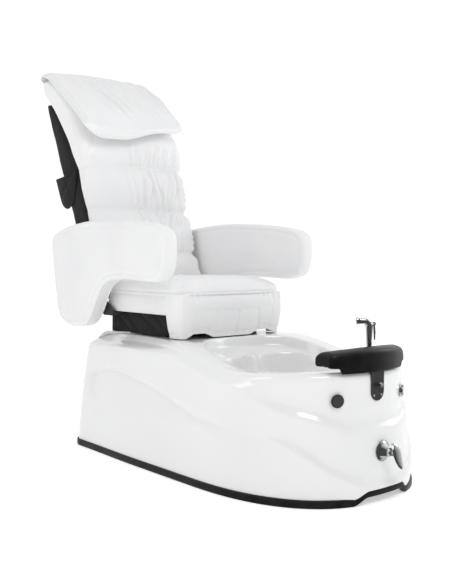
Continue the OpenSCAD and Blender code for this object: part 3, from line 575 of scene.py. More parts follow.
def basin_point(angle, ratio):
    """A point of the foot basin from its direction, 0 at the toe, and its share of the way to the lip."""
    s, c = np.sin(angle), np.cos(angle)
    x = LIP_HALF[0] * np.sign(s) * np.abs(s) ** (2 / 2.4) * ratio
    y = LIP_Y - LIP_HALF[1] * np.sign(c) * np.abs(c) ** (2 / 2.4) * ratio
    return x, y


def basin_depth(angle, ratio):
    """Depth below the rim: a rounded lip, a calf ledge at the rear, steep walls and a nearly flat floor."""
    back = np.abs(np.abs(angle) - math.pi)
    ledge = 0.2 * blob(back, 0, 0.95) * (1 + 0.55 * blob(back, 0, 0.17))
    step = 0.03 * ease(1 - ratio, 0.0, 0.045) + 0.006 * np.clip((1 - ratio) / 0.25, 0, 1)
    wall_start = 0.94 - ledge
    wall = 0.185 * ease(wall_start - ratio, 0.0, 0.16)
    dish = 0.012 * (1 - ease(ratio, 0.0, 0.7))
    ridge = 0.022 * blob(np.sin(angle) * ratio * LIP_HALF[0], 0, 0.03)
    ridge = ridge * ease(ratio, 0.1, 0.5) * blob(back, 0, 0.9)
    return step + wall + dish - ridge * (ratio < wall_start)


def tub_points():
    """Rings of the skin: up the wall, over the rim and deck, and down into the basin."""
    half, both, outward = tub_plan()
    n = len(half)
    m = len(both)
    wall_rows = 104
    shares = np.linspace(0, 1, wall_rows)
    rows = np.zeros((wall_rows, m, 3))
    for i, ((x, y), d) in enumerate(zip(both, outward)):
        rim, bottom = float(rim_height(y)), BUMPER_H - 0.004 + float(arch_height(x, y))
        z = bottom + (rim - bottom) * shares
        inset = wall_inset(y, z, bottom, rim)
        rows[:, i, 0] = x - inset * d[0]
        rows[:, i, 1] = y - inset * d[1]
        rows[:, i, 2] = z
    toe_count = int(np.argmax(half[:, 1] >= TOE_LEN))
    i = np.arange(n)
    turn = np.where(i <= toe_count, 0.5 * i / toe_count, 0.5 + 0.5 * (i - toe_count) / (n - 1 - toe_count))
    turn = np.concatenate([turn, -turn[-2:0:-1]]) * math.pi
    crest = rows[-1]
    lip_x, lip_y = basin_point(turn, 1.0)
    deck = []
    for u in np.linspace(0, 1, 22)[1:]:
        x = crest[:, 0] + (lip_x - crest[:, 0]) * u
        y = crest[:, 1] + (lip_y - crest[:, 1]) * u
        lip_drop = 0.003 * u**8
        deck.append(np.stack([x, y, rim_height(y) - lip_drop], 1))
    basin = []
    for ratio in np.concatenate([np.linspace(0.995, 0.45, 60), np.linspace(0.42, 0.04, 12)]):
        x, y = basin_point(turn, ratio)
        rim = rim_height(lip_y) * ratio**2 + RIM_DIP * (1 - ratio**2)
        z = rim - 0.003 - basin_depth(turn, np.full(m, ratio))
        basin.append(np.stack([x, y, np.maximum(z, BASIN_FLOOR + 0.002)], 1))
    return np.concatenate([rows, deck, basin]), m


def cutter(shape, place, size, turn=(0, 0, 0)):
    """A closed box or round cutter, measured from the toe, with its axis along Z before it's turned."""
    body = bmesh.new()
    if shape == "box":
        bmesh.ops.create_cube(body, size=1)
        bmesh.ops.scale(body, vec=size, verts=body.verts)
    else:
        radius, depth = size
        bmesh.ops.create_cone(body, cap_ends=True, segments=48, radius1=radius, radius2=radius, depth=depth)
    for axis, degrees in zip("XYZ", turn):
        bmesh.ops.rotate(body, matrix=Matrix.Rotation(math.radians(degrees), 3, axis), verts=body.verts)
    bmesh.ops.translate(body, vec=Vector(place) + Vector((0, TOE, 0)), verts=body.verts)
    return body


def cut(piece, cutters):
    """The cutters are taken out of the piece."""
    mesh = bpy.data.meshes.new("cutters")
    whole = bmesh.new()
    for c in cutters:
        part = bpy.data.meshes.new("part")
        c.to_mesh(part)
        c.free()
        whole.from_mesh(part)
    whole.to_mesh(mesh)
    whole.free()
    tool = bpy.data.objects.new("cutters", mesh)
    bpy.context.scene.collection.objects.link(tool)
    modifier = piece.modifiers.new("cut", "BOOLEAN")
    modifier.operation, modifier.solver, modifier.object = "DIFFERENCE", "EXACT", tool
    apply_modifiers(piece)
    bpy.data.objects.remove(tool)


def make_tub():
    rings, m = tub_points()
    points = rings.reshape(-1, 3)
    faces = tube_faces(len(rings), m).tolist()
    last = (len(rings) - 1) * m
    faces.append([last + i for i in range(m)])
    tub = make_piece("tub", points, faces, "acrylic_white", "tub", "tub_shell")
    thicken(tub, TUB_WALL, -1)
    # Service opening, footrest post, mixer, sprayer, drain, bracket plunger and the two air buttons
    cut(tub, [
        cutter("box", (0, TUB_LEN - 0.02, 0.09), (0.21, 0.08, 0.084)),
        cutter("box", (0, 0.052, 0.384), (0.039, 0.021, 0.07)),
        cutter("round", (0, 0.02, MIXER_Z), (0.0195, 0.1), (90, 0, 0)),
        cutter("round", (SPRAYER_X, SPRAYER_Y, 0.38), (0.0128, 0.08)),
        cutter("round", (0, LIP_Y, BASIN_FLOOR), (0.026, 0.05)),
        cutter("round", (0, 0.03, 0.346), (0.009, 0.06), (90, 0, 0)),
        *[cutter("round", (s * 0.15, 0.0575, 0.308), (0.013, 0.06), (90, 0, s * 26)) for s in (-1, 1)],
    ])
    finish_piece(tub, "acrylic_white", "tub", "tub_shell")


def make_bumper():
    """The black strip round the tub's foot."""
    _, both, outward = tub_plan()
    # Inset from the outline, height
    section = [(-0.004, 0), (-0.0052, 0.002), (-0.0055, 0.009), (-0.0055, 0.017), (-0.0047, 0.0215),
               (-0.003, 0.0235), (0.0, 0.024), (0.008, 0.024), (0.011, 0.022), (0.011, 0.002), (0.009, 0)]
    rise = arch_height(both[:, 0], both[:, 1])
    rings = [np.column_stack([both - inset * outward, rise + z]) for inset, z in section]
    faces = tube_faces(len(rings), len(both), close_rings=True)
    make_piece("bumper", np.concatenate(rings), faces, "bumper_black", "tub", "bumper_trim")


# --- Soft goods: shared shapes --------------------------------------------------------------

def ring_loft(rings):
    """Points and faces of a closed skin over rings of equal, even length, closed by a ladder of quads."""
    rings = np.asarray(rings, float)
    count, points = rings.shape[:2]
    verts = rings.reshape(-1, 3)
    faces = tube_faces(count, points).tolist()
    for start in (0, (count - 1) * points):
        faces += [[start + i, start + i + 1, start + points - 2 - i, start + points - 1 - i]
                  for i in range(points // 2 - 1)]
    return verts, faces


def tube_along(path, radius, closed=False, sides=8):
    """A thin round tube along a path, for piping and hems."""
    path = np.asarray(path, float)
    if closed:
        tangent = np.roll(path, -1, 0) - np.roll(path, 1, 0)
    else:
        tangent = np.gradient(path, axis=0)
    tangent /= np.linalg.norm(tangent, axis=1)[:, None] + 1e-12
    side = np.cross(tangent, (0.31, 0.17, 0.93))
    for i in range(1, len(side)):
        side[i] = side[i - 1] - tangent[i] * np.dot(side[i - 1], tangent[i])
        side[i] /= np.linalg.norm(side[i]) + 1e-12
    side[0] /= np.linalg.norm(side[0]) + 1e-12
    over = np.cross(side, tangent)
    if closed:
        carried = side[-1] - tangent[0] * np.dot(side[-1], tangent[0])
        twist = math.atan2(np.dot(carried, over[0]), np.dot(carried, side[0]))
        back = -twist * np.linspace(0, 1, len(path))[:, None]
        side, over = side * np.cos(back) + over * np.sin(back), over * np.cos(back) - side * np.sin(back)
    a = np.linspace(0, 2 * math.pi, sides, endpoint=False)
    rings = (path[:, None] + radius * (np.cos(a)[None, :, None] * side[:, None]
                                       + np.sin(a)[None, :, None] * over[:, None]))
    if closed:
        return rings.reshape(-1, 3), tube_faces(len(path), sides, close_rings=True).tolist()
    return ring_loft(rings)


def add_mesh(first, second):
    """One list of points and faces from two."""
    verts, faces = first
    more, more_faces = second
    shift = len(verts)
    return np.concatenate([verts, more]), list(faces) + [[i + shift for i in f] for f in more_faces]


def settle(rings, held, spread, pressure, limit, frames=20, bending=0.5):
    """Cloth simulation of a closed skin over rings, with no gravity: it swells from where it is held.

    held says how firmly each point is held, and spread gives the points of the cloth as it was cut: cloth
    that is cut too wide wrinkles. Every second ring and point is simulated, and the rest follow them.
    """
    coarse = rings[::2, ::2]
    verts, faces = ring_loft(coarse)
    mesh = bpy.data.meshes.new("cloth")
    mesh.from_pydata(verts.tolist(), [], faces)
    piece = bpy.data.objects.new("cloth", mesh)
    scene = bpy.context.scene
    scene.collection.objects.link(piece)
    piece.shape_key_add(name="Basis")
    cut_wide = piece.shape_key_add(name="cut")
    cut_wide.data.foreach_set("co", np.ascontiguousarray(spread(verts)).ravel())
    group = piece.vertex_groups.new(name="held")
    firmness = np.round(np.clip(held[::2, ::2].ravel(), 0, 1) * 4)
    for level in range(1, 5):
        group.add(np.nonzero(firmness == level)[0].tolist(), level / 4, "REPLACE")
    cloth = piece.modifiers.new("cloth", "CLOTH")
    use = cloth.settings
    use.quality = 5
    use.mass = 0.25
    use.tension_stiffness = use.compression_stiffness = 12
    use.shear_stiffness = 4
    use.bending_stiffness = bending
    use.use_pressure = True
    use.uniform_pressure_force = pressure
    use.effector_weights.gravity = 0
    use.vertex_group_mass = "held"
    use.pin_stiffness = 1
    use.rest_shape_key = cut_wide
    cloth.collision_settings.use_collision = False
    cloth.point_cache.frame_start, cloth.point_cache.frame_end = 1, frames
    for frame_number in range(1, frames + 1):
        scene.frame_set(frame_number)
    shown = piece.evaluated_get(bpy.context.evaluated_depsgraph_get()).data
    end = np.empty(len(verts) * 3)
    shown.vertices.foreach_get("co", end)
    move = end.reshape(-1, 3) - verts
    length = np.linalg.norm(move, axis=1)[:, None] + 1e-12
    move = (move * limit * np.tanh(length / limit) / length).reshape(coarse.shape)
    bpy.data.objects.remove(piece)
    scene.frame_set(1)
    row = np.minimum(np.arange(len(rings)) / 2, len(coarse) - 1)
    low, part = np.floor(row).astype(int), (row % 1)[:, None, None]
    fine = move[low] * (1 - part) + move[np.minimum(low + 1, len(coarse) - 1)] * part
    col = np.arange(rings.shape[1]) / 2
    low, part = np.floor(col).astype(int), (col % 1)[None, :, None]
    return rings + fine[:, low] * (1 - part) + fine[:, (low + 1) % coarse.shape[1]] * part


def soft_noise(points, scale, seed):
    """Smooth, seeded unevenness of unit size over points."""
    shift = Vector((seed * 7.3, seed * 3.1, seed * 1.7))
    return np.array([noise.noise(Vector(p) * scale + shift) for p in np.asarray(points, float)])


def crease(across, width):
    """A soft fold of unit height with a narrow groove along one side of it."""
    t = across / width
    return blob(t, 0, 1) - 0.75 * blob(t, 1.55, 0.42)


# --- Seat cushion and apron -----------------------------------------------------------------

SEAT_SEAM_Z = 0.597
SEAT_TOP_Z = 0.646
BAND_FOOT_Z = 0.523
UNDERSIDE_RINGS = 8
SEAT_MIDDLE = np.array([0, 0.93])
APRON_HEAD_Z, APRON_FOOT_Z = 0.6, 0.4418
RAIL_X, RAIL_GAP = 0.15, 0.003


def seat_plan(count, half_w=0.253, front=0.684, back=1.166, front_r=0.075, back_r=0.035):
    """The cushion's outline from above, with its sides pulled in a little between the corners."""
    corners = [(half_w, front, front_r, -90), (half_w, back, back_r, 0)]
    line = []
    for x, y, r, first in corners:
        for a in np.radians(np.linspace(first, first + 90, 14)):
            cx = x - r
            cy = y + r if first < 0 else y - r
            line.append((cx + r * math.cos(a), cy + r * math.sin(a)))
    right = np.array(line)
    loop = np.concatenate([right, right[::-1] * (-1, 1)])
    loop = np.concatenate([loop, loop[:1]])
    plan = even_steps(loop, count, endpoint=False)
    plan[:, 1] -= 0.006 * blob(plan[:, 0], 0, 0.16) * (plan[:, 1] < front + 0.05)
    return plan


def make_seat_cushion():
    """A band with gathered sides, a sunk seam and a crowned top, with piping in the seam."""
    count = 300
    plan = seat_plan(count)
    outward = unit(plan - SEAT_MIDDLE)
    turn = np.arange(count) / count
    front = ease(-plan[:, 1], -0.78, -0.72)
    side = (1 - front) * ease(-plan[:, 1], -1.0, -0.8)
    gather = 0.0028 * side * np.sin(turn * 2 * math.pi * 92 + 3 * np.sin(turn * 19)) * (plan[:, 1] < 0.99)
    rings = []

    def ring(share, z, swell=0.0):
        out = SEAT_MIDDLE + (plan - SEAT_MIDDLE) * share + outward * np.asarray(swell)[..., None]
        rings.append(np.column_stack([out, np.broadcast_to(z, count)]))

    for share in (0.06, 0.3, 0.6, 0.85, 0.945):
        ring(share, 0.5365)
    ring(0.953, 0.531)
    ring(0.957, BAND_FOOT_Z)
    for z in np.linspace(BAND_FOOT_Z, SEAT_SEAM_Z - 0.006, 15):
        rise = (z - BAND_FOOT_Z) / (SEAT_SEAM_Z - 0.006 - BAND_FOOT_Z)
        bulge = -0.010 + 0.009 * math.sin(math.pi * rise)
        ring(1.0, z, bulge + gather * (0.35 + 0.65 * (1 - rise)))
    ring(1.0, SEAT_SEAM_Z - 0.001, -0.0075)
    top = SEAT_TOP_Z - SEAT_SEAM_Z
    for a in np.linspace(0.12, 1, 20):
        share = 1 - 0.2 * (1 - math.cos(a * math.pi / 2))
        ring(share, SEAT_SEAM_Z + 0.004 + (top - 0.007) * math.sin(a * math.pi / 2) ** 0.9,
             0.004 * math.sin(min(1.0, a * 1.6) * math.pi))
    for share in np.linspace(0.775, 0.03, 30):
        crown = SEAT_TOP_Z + 0.007 * (1 - (share / 0.8) ** 2)
        ring(share, crown)
    rings = np.array(rings)
    held = 1.4 * blob(rings[..., 2], SEAT_SEAM_Z, 0.0035)
    held[:UNDERSIDE_RINGS] = 1
    verts, faces = ring_loft(settle(rings, held, lambda p: p * (1.04, 1.03, 1), 2.5, 0.008, 18))
    x, y, z = verts.T
    pucker = blob(z, SEAT_SEAM_Z + 0.01, 0.012) * np.sin(np.arctan2(x, y - 0.93) * 150) * 0.0007
    verts[:, 2] += pucker
    sag = 0.004 * blob(x, 0, 0.12) * blob(y, 1.02, 0.14) * ease(z, 0.62, 0.645)
    draws = random.Random(8)
    for _ in range(9):
        px, py, turn_by = draws.uniform(-0.2, 0.2), draws.uniform(0.73, 1.0), draws.uniform(-0.5, 0.5)
        off = (x - px) * math.cos(turn_by) + (y - py) * math.sin(turn_by)
        run = (y - py) * math.cos(turn_by) - (x - px) * math.sin(turn_by)
        dent = draws.uniform(0.002, 0.004) * crease(off, 0.012) * blob(run, 0, 0.05)
        sag = sag - dent * ease(z, 0.615, 0.635)
    lumps = 0.0030 * soft_noise(verts, 9, 1) + 0.0016 * soft_noise(verts, 24, 2)
    verts[:, 2] += lumps * ease(z, 0.6, 0.64) - sag
    cushion = make_round_piece("seat_cushion_skin", verts, faces, "vinyl_white", "seat", "seat_cushion")
    welt = np.column_stack([plan - 0.0045 * outward, np.full(count, SEAT_SEAM_Z + 0.0015)])
    make_piece("seat_piping", *tube_along(welt, 0.0034, closed=True), "vinyl_white", "seat")


def make_apron():
    """The skirt that falls from the cushion's front seam to the deck and turns back round both corners."""
    count, rows = 260, 46
    path = [(-0.247, 0.768), (-0.2475, 0.74), (-0.246, 0.715), (-0.236, 0.698), (-0.215, 0.691),
            (-0.12, 0.6885)]
    path = path + [(-x, y) for x, y in path[::-1]]
    plan = smooth_line(path, count)
    tangent = np.gradient(plan, axis=0)
    out = unit(np.column_stack([tangent[:, 1], -tangent[:, 0]]))
    across = plan[:, 0]
    # Place across, depth and width of each pleat
    pleats = [(-0.19, 0.004, 0.006), (-0.085, 0.0035, 0.008), (0.02, 0.004, 0.006), (0.115, 0.0045, 0.007),
              (0.185, 0.0035, 0.006), (-0.245, 0.003, 0.01)]
    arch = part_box("seat_rails")[1].z + RAIL_GAP - APRON_FOOT_Z
    foot = APRON_FOOT_Z + arch * ease(0.07 - np.abs(np.abs(across) - RAIL_X), 0, 0.052)
    rings = []
    for inner in (False, True):
        for k in np.linspace(0, 1, rows):
            z = APRON_HEAD_Z + (foot - APRON_HEAD_Z) * k
            wave = sum(d * blob(across + 0.02 * (k - 0.5) * math.sin(c * 40), c, w) * (0.35 + 0.65 * k)
                       for c, d, w in pleats)
            billow = 0.007 * math.sin(math.pi * min(1, k * 1.05)) ** 0.8 - 0.010 * k**2
            near_seams = blob(k, 0, 0.16) + 0.7 * blob(k, 1, 0.1)
            ripple = 0.0016 * np.sin(across * 190 + 2 * np.sin(across * 37)) * near_seams
            hem = 0.002 * blob(k, 0.9, 0.03)
            move = billow - 1.2 * wave + ripple - hem - (0.009 if inner else 0)
            rings.append(np.column_stack([plan + out * np.asarray(move)[:, None], z]))
    grid = np.array(rings).reshape(2, rows, count, 3)
    loop = np.concatenate([grid[0], grid[1][::-1]]).transpose(1, 0, 2)
    apron = make_round_piece("apron_skin", *ring_loft(loop), "vinyl_white", "seat", "seat_apron")


# --- Backrest -------------------------------------------------------------------------------

# Side views of the backrest: distance from the toe, height
BACK_FRONT = [(1.186, 0.632), (1.2, 0.68), (1.228, 0.77), (1.256, 0.87), (1.29, 0.96), (1.304, 1.06),
              (1.318, 1.15), (1.338, 1.222), (1.38, 1.296), (1.456, 1.392), (1.545, 1.462), (1.612, 1.488)]
BACK_REAR = [(1.226, 0.634), (1.24, 0.69), (1.262, 0.765), (1.3, 0.865), (1.34, 0.965), (1.385, 1.062),
             (1.446, 1.152), (1.506, 1.235), (1.574, 1.33), (1.64, 1.392), (1.676, 1.43), (1.668, 1.466)]
SHELL_FRONT = [(1.236, 0.64), (1.266, 0.765), (1.304, 0.865), (1.344, 0.965), (1.389, 1.062), (1.45, 1.152),
               (1.51, 1.235), (1.578, 1.33), (1.644, 1.392)]
SHELL_REAR = [(1.378, 0.64), (1.392, 0.655), (1.428, 0.74), (1.476, 0.85), (1.53, 0.965), (1.586, 1.084),
              (1.633, 1.202), (1.679, 1.328), (1.69, 1.38)]
BACK_SEAMS = (0.745, 0.925, 1.11)
BACK_HALF_W = 0.247


def rounded_section(power):
    """A squared ellipse of unit half width and half depth."""
    a = np.linspace(0, 2 * math.pi, 2001)
    x = np.sign(np.cos(a)) * np.abs(np.cos(a)) ** (2 / power)
    d = np.sign(np.sin(a)) * np.abs(np.sin(a)) ** (2 / power)
    return x, d


def slab_rings(front, rear, half_w, stations, count, power=5.0):
    """Rings between a front and a rear line of the side view, rounded at the sides."""
    lines = smooth_line(front, stations), smooth_line(rear, stations)
    ux, ud = rounded_section(power)
    rings = []
    for f, r in zip(*lines):
        depth = np.linalg.norm(r - f)
        x, d = ux * half_w, ud * depth / 2
        length = np.concatenate([[0], np.cumsum(np.hypot(np.diff(x), np.diff(d)))])
        steps = np.linspace(0, length[-1], count, endpoint=False)
        share = np.interp(steps, length, d) / depth + 0.5
        ring_x = np.interp(steps, length, x)
        rings.append(np.column_stack([ring_x, f[0] + (r[0] - f[0]) * share, f[1] + (r[1] - f[1]) * share]))
    return np.array(rings)


def back_folds(x, z):
    """Height of the gathers on the backrest: long between the upper two seams and short beyond them."""
    draws = random.Random(11)
    low, top = BACK_SEAMS[1:]
    between = ease(z, low, low + 0.02) * (1 - ease(z, top - 0.02, top))
    height = np.zeros_like(x)
    for k in range(7):
        place = -0.045 + 0.042 * k + draws.uniform(-0.008, 0.008)
        wander = place + draws.uniform(-0.16, 0.1) * (z - low) + 0.006 * np.sin((z - low) * 38 + k * 2.1)
        stop = 1 - ease(z, top - 0.1, top - 0.03) * (k % 3 == 1)
        width = 0.010 + 0.004 * np.sin(math.pi * np.clip((z - low) / (top - low), 0, 1))
        size = draws.uniform(0.009, 0.014) * ease(place, -0.09, 0.02)
        height += size * crease(x - wander, width) * between * stop
    # Short gathers: the seam they start at, up or down from it, the first one's place and how many
    for start, way, first, count in ((top, 1, -0.01, 6), (low, -1, -0.03, 7), (BACK_SEAMS[0], 1, -0.19, 10)):
        for k in range(count):
            place = first + 0.039 * k + draws.uniform(-0.009, 0.009)
            away = np.clip(way * (z - start), 0, 1)
            lean = (place - 0.07) * 2.0 if way > 0 and start == top else draws.uniform(-0.4, 0.2)
            reach = draws.uniform(0.07, 0.13)
            size = draws.uniform(0.008, 0.012) * (0.5 if start == BACK_SEAMS[0] else 1.0)
            fold = size * crease(x - place - lean * away, 0.009 + 0.07 * away) * (way * (z - start) > 0)
            height += fold * ease(away, 0, 0.008) * (1 - ease(away, reach * 0.35, reach))
    return height


def make_back_cushion():
    """A tall pad pinched at three seams, with gathers between them."""
    stations, count = 200, 380
    rings = slab_rings(BACK_FRONT, BACK_REAR, BACK_HALF_W, stations, count)
    front_line, rear_line = smooth_line(BACK_FRONT, stations), smooth_line(BACK_REAR, stations)
    inward = rear_line - front_line
    depth = np.linalg.norm(inward, axis=1)
    inward /= depth[:, None]
    verts = rings.reshape(-1, 3)
    station = np.repeat(np.arange(stations), count)
    x = verts[:, 0]
    share = ((verts[:, 1] - front_line[station, 0]) * inward[station, 0]
             + (verts[:, 2] - front_line[station, 1]) * inward[station, 1]) / depth[station]
    z = front_line[station, 1]
    near = (1 - ease(share, 0.25, 0.75)) * ease(z, 0.66, 0.7)
    widths, depths = (0.010, 0.011, 0.011), (0.008, 0.012, 0.013)
    seams = sum(blob(z, s, w) * d for s, w, d in zip(BACK_SEAMS, widths, depths))
    calm = 0.45 + 0.55 * ease(x, -0.2, 0.02)
    panel = np.interp(z, (0.632, *BACK_SEAMS, 1.30, 1.5), (0, 1, 2, 3, 4, 5))
    puffs = 0.010 * np.abs(np.sin(math.pi * panel)) ** 0.8
    crown = -0.010 * (np.abs(x) / BACK_HALF_W) ** 4
    strip = -0.006 * blob(x, 0.118, 0.0045) * (1 - ease(z, 0.9, 0.93)) * ease(z, 0.67, 0.7)
    front_move = puffs * (1 - 0.5 * (np.abs(x) / 0.25) ** 3) - seams * calm + strip + crown
    move = np.where(share < 0.75, front_move, 0) * near
    verts[:, 1] -= move * inward[station, 0]
    verts[:, 2] -= move * inward[station, 1]
    side = ease(np.abs(x), 0.2, 0.245)
    pinch = 0.008 * sum(blob(z, s, 0.016) for s in BACK_SEAMS) * (0.35 + 0.65 * (x > 0))
    pinch = pinch - 0.6 * puffs * (x > 0)
    ruffle = 0.0035 * np.sin(z * 170 + 3 * np.sin(z * 31)) * (np.abs(share - 0.35) < 0.3) * (x > 0)
    roll = 0.010 * blob(z, 1.40, 0.10) + 0.004 * blob(z, 1.02, 0.05) + 0.004 * blob(z, 1.19, 0.05)
    verts[:, 0] -= np.sign(x) * side * ((pinch - ruffle) * (1 - ease(share, 0.75, 1)) - roll)
    held = np.clip(1.3 * sum(blob(z, s, 0.006) for s in BACK_SEAMS) + ease(share, 0.45, 0.6) + (z < 0.645)
                   + (z > 1.47), 0, 1)
    held = held.reshape(rings.shape[:2])
    verts, faces = ring_loft(settle(rings, held, lambda p: p * (1.10, 1, 1), 3.0, 0.010, 20, 0.3))
    folds = np.where(share < 0.75, back_folds(x, z), 0) * near
    verts[:, 1] -= folds * inward[station, 0]
    verts[:, 2] -= folds * inward[station, 1]
    back = make_round_piece("back_cushion_skin", verts, faces, "vinyl_white", "back", "back_cushion")


def make_rear_shell():
    """The loose black cloth of the backrest's rear, with a seam down its middle."""
    rings = slab_rings(SHELL_FRONT, SHELL_REAR, 0.2245, 120, 200, 4.2)
    verts = rings.reshape(-1, 3)
    x, y, z = verts.T
    fold = 0.0035 * soft_noise(verts * (1, 1, 0.6), 14, 5) + 0.0016 * soft_noise(verts, 36, 6)
    side = ease(np.abs(x), 0.19, 0.222)
    verts[:, 0] -= np.sign(x) * side * np.maximum(fold, -0.0006)
    verts[:, 1] -= np.abs(fold) * (1 - side) * (y > np.interp(z, (0.64, 1.38), (1.34, 1.66)))
    make_round_piece("rear_shell_skin", *ring_loft(rings), "cloth_black", "back", "rear_shell")
    centre = [(1.4, 0.66), (1.432, 0.74), (1.48, 0.85), (1.534, 0.965), (1.59, 1.084), (1.637, 1.202),
              (1.682, 1.326)]
    centre = smooth_line([(0, *p) for p in centre], 90)
    centre[:, 1] -= 0.002
    make_piece("rear_shell_seam", *tube_along(centre, 0.003), "cloth_black", "back")


def make_side_pocket():
    """A pouch on the shell's right side: its top hem stands open and its foot is drawn in."""
    rows, cols = 44, 40
    top = smooth_line([(1.42, 1.082), (1.505, 1.062), (1.592, 1.056)], cols)
    foot = smooth_line([(1.44, 0.962), (1.47, 0.936), (1.5, 0.931), (1.53, 0.944), (1.55, 0.966)], cols)
    grid = np.zeros((rows, cols, 3))
    for i, k in enumerate(np.linspace(0, 1, rows)):
        line = foot * (1 - k) + top * k
        swell = np.sin(math.pi * np.linspace(0, 1, cols)) ** 0.6
        grid[i, :, 1:] = line
        grid[i, :, 0] = -0.2262 - (0.0055 + 0.0115 * k**0.8) * swell * (0.4 + 0.6 * min(1, k * 4))
    verts = grid.reshape(-1, 3)
    y, z = verts[:, 1], verts[:, 2]
    fold = (blob((y - 1.5) + 0.9 * (z - 1.01), 0, 0.012)
            + 0.8 * blob((y - 1.46) - 0.5 * (z - 1.0), 0, 0.009))
    verts[:, 0] = np.minimum(verts[:, 0] + 0.0025 * fold * (verts[:, 0] < -0.23), -0.2258)
    faces = sheet_faces(rows, cols)
    pouch = make_piece("side_pocket_skin", verts, faces, "cloth_black", "back", "side_pocket")
    thicken(pouch, 0.0018, 1)
    round_piece(pouch, "cloth_black", "back", "side_pocket")
    hem = grid[-1] + (-0.0004, 0, 0)
    make_piece("side_pocket_hem", *tube_along(hem, 0.0026), "cloth_black", "back")


# --- Head flap ------------------------------------------------------------------------------

# Side view of the flap's outside, from its foot at the rear over the top and down the front
FLAP_LINE = [(1.674, 1.474), (1.678, 1.512), (1.654, 1.5425), (1.586, 1.5315), (1.492, 1.4705),
             (1.382, 1.3785), (1.292, 1.285), (1.262, 1.222)]
FLAP_HALF_W = 0.254
FLAP_CORNER_R, FLAP_REAR_CORNER_R = 0.085, 0.045


def make_head_flap():
    """A padded cover over the top of the backrest, drooping at its sides, with piping round three edges."""
    rows, cols = 150, 160
    line = smooth_line(FLAP_LINE, 400)
    tangent = np.gradient(line, axis=0)
    out = unit(np.column_stack([-tangent[:, 1], tangent[:, 0]]))
    out *= np.sign(out[200, 1])
    length = np.linalg.norm(np.diff(line, axis=0), axis=1).sum()
    half_w, corner, rear_corner = FLAP_HALF_W, FLAP_CORNER_R, FLAP_REAR_CORNER_R
    u = np.linspace(-1, 1, cols)
    top = np.zeros((rows, cols, 3))
    under = np.zeros((rows, cols, 3))
    folded = np.zeros((rows, 2 * cols, 3))
    held = np.ones((rows, 2 * cols))
    draws = random.Random(5)
    # Place, lean, height, width and end of each fold
    folds = [(-0.2 + 0.08 * k + draws.uniform(-0.016, 0.016), draws.uniform(0.25, 0.42),
              draws.uniform(0.009, 0.013), draws.uniform(0.014, 0.020), draws.uniform(0.65, 0.98))
             for k in range(6)]
    for i, s in enumerate(np.linspace(0, 1, rows)):
        reach = length - 0.062 * ease(u, -0.6, 1.0)
        d = s * reach
        from_foot, from_rear = (1 - s) * length, s * length
        trim = corner - math.sqrt(max(corner**2 - max(corner - from_foot, 0) ** 2, 0))
        trim += rear_corner - math.sqrt(max(rear_corner**2 - max(rear_corner - from_rear, 0) ** 2, 0))
        x = u * (half_w - trim)
        at = np.clip(d / length * 399, 0, 399)
        y, z = (np.interp(at, np.arange(400), line[:, k]) for k in (0, 1))
        ny, nz = (np.interp(at, np.arange(400), out[:, k]) for k in (0, 1))
        rim = np.minimum.reduce([half_w - np.abs(x), np.full(cols, from_foot), np.full(cols, from_rear)])
        rim = np.minimum(rim, (1 - np.abs(u)) * (half_w - trim) + 0.0005)
        pillow = np.sqrt(np.clip(1 - (1 - np.clip(rim / 0.05, 0, 1)) ** 2, 0, 1))
        droop = np.where(x < 0, 0.030, 0.016) * (np.abs(x) / half_w) ** 2.6
        droop = droop * (1 - 0.65 * ease(s, 0.45, 0.95)) * (0.6 + 0.4 * ease(s, 0, 0.3))
        rise = sum(size * crease(x - place - lean * (d - 0.12), width)
                   * ease(s, 0.2, 0.34) * (1 - ease(s, end - 0.2, end))
                   for place, lean, size, width, end in folds)
        rise = rise - 0.002 * blob(rim, 0.011, 0.003)
        y, z = y + 0.35 * droop, z - 0.94 * droop
        snug = 0.65 + 0.35 * ease(s, 0.08, 0.3)
        lift = (-0.020 + 0.017 * pillow) * snug
        top[i] = np.column_stack([x, y + ny * lift, z + nz * lift])
        folded[i, :cols] = np.column_stack([0 * x, ny, nz]) * (rise * pillow)[:, None]
        held[i, :cols] = 1 - ease(rim, 0.012, 0.03)
        low = (-0.023 - 0.006 * pillow) * snug
        under[i] = np.column_stack([x, y + ny * low, z + nz * low])
    loops = np.concatenate([top, under[:, ::-1]], axis=1)
    verts, faces = ring_loft(settle(loops, held, lambda p: p * (1.06, 1, 1), 2.0, 0.008, 18, 0.3) + folded)
    flap = make_round_piece("head_flap_skin", verts, faces, "vinyl_white", "flap", "head_flap")
    middle = (top + under) / 2
    welt = np.concatenate([middle[10:, 0], middle[-1, 1:-1], middle[:9:-1, -1]])
    welt = smooth_line(welt[::3], 420)
    make_piece("head_flap_piping", *tube_along(welt, 0.0042), "vinyl_white", "flap")


# --- Armrests -------------------------------------------------------------------------------

# Side view of an armrest: distance from the toe, height
ARM_OUTLINE = [(0.628, 0.8), (0.668, 0.832), (0.77, 0.85), (0.9, 0.862), (1.08, 0.868), (1.26, 0.856),
               (1.395, 0.83), (1.436, 0.795), (1.424, 0.69), (1.402, 0.57), (1.376, 0.5), (1.32, 0.463),
               (1.24, 0.459), (1.165, 0.474), (1.112, 0.52), (1.07, 0.584), (1.02, 0.63), (0.94, 0.647),
               (0.82, 0.647), (0.7, 0.645), (0.64, 0.672), (0.623, 0.74)]
ARM_PIVOT_Y = 1.29
ARM_INNER_X = 0.275
ARM_T = 0.062
ARM_EDGE_R = 0.017
ARM_SEAM = ARM_EDGE_R + 0.0045
ARM_SPLAY = math.radians(1.7)


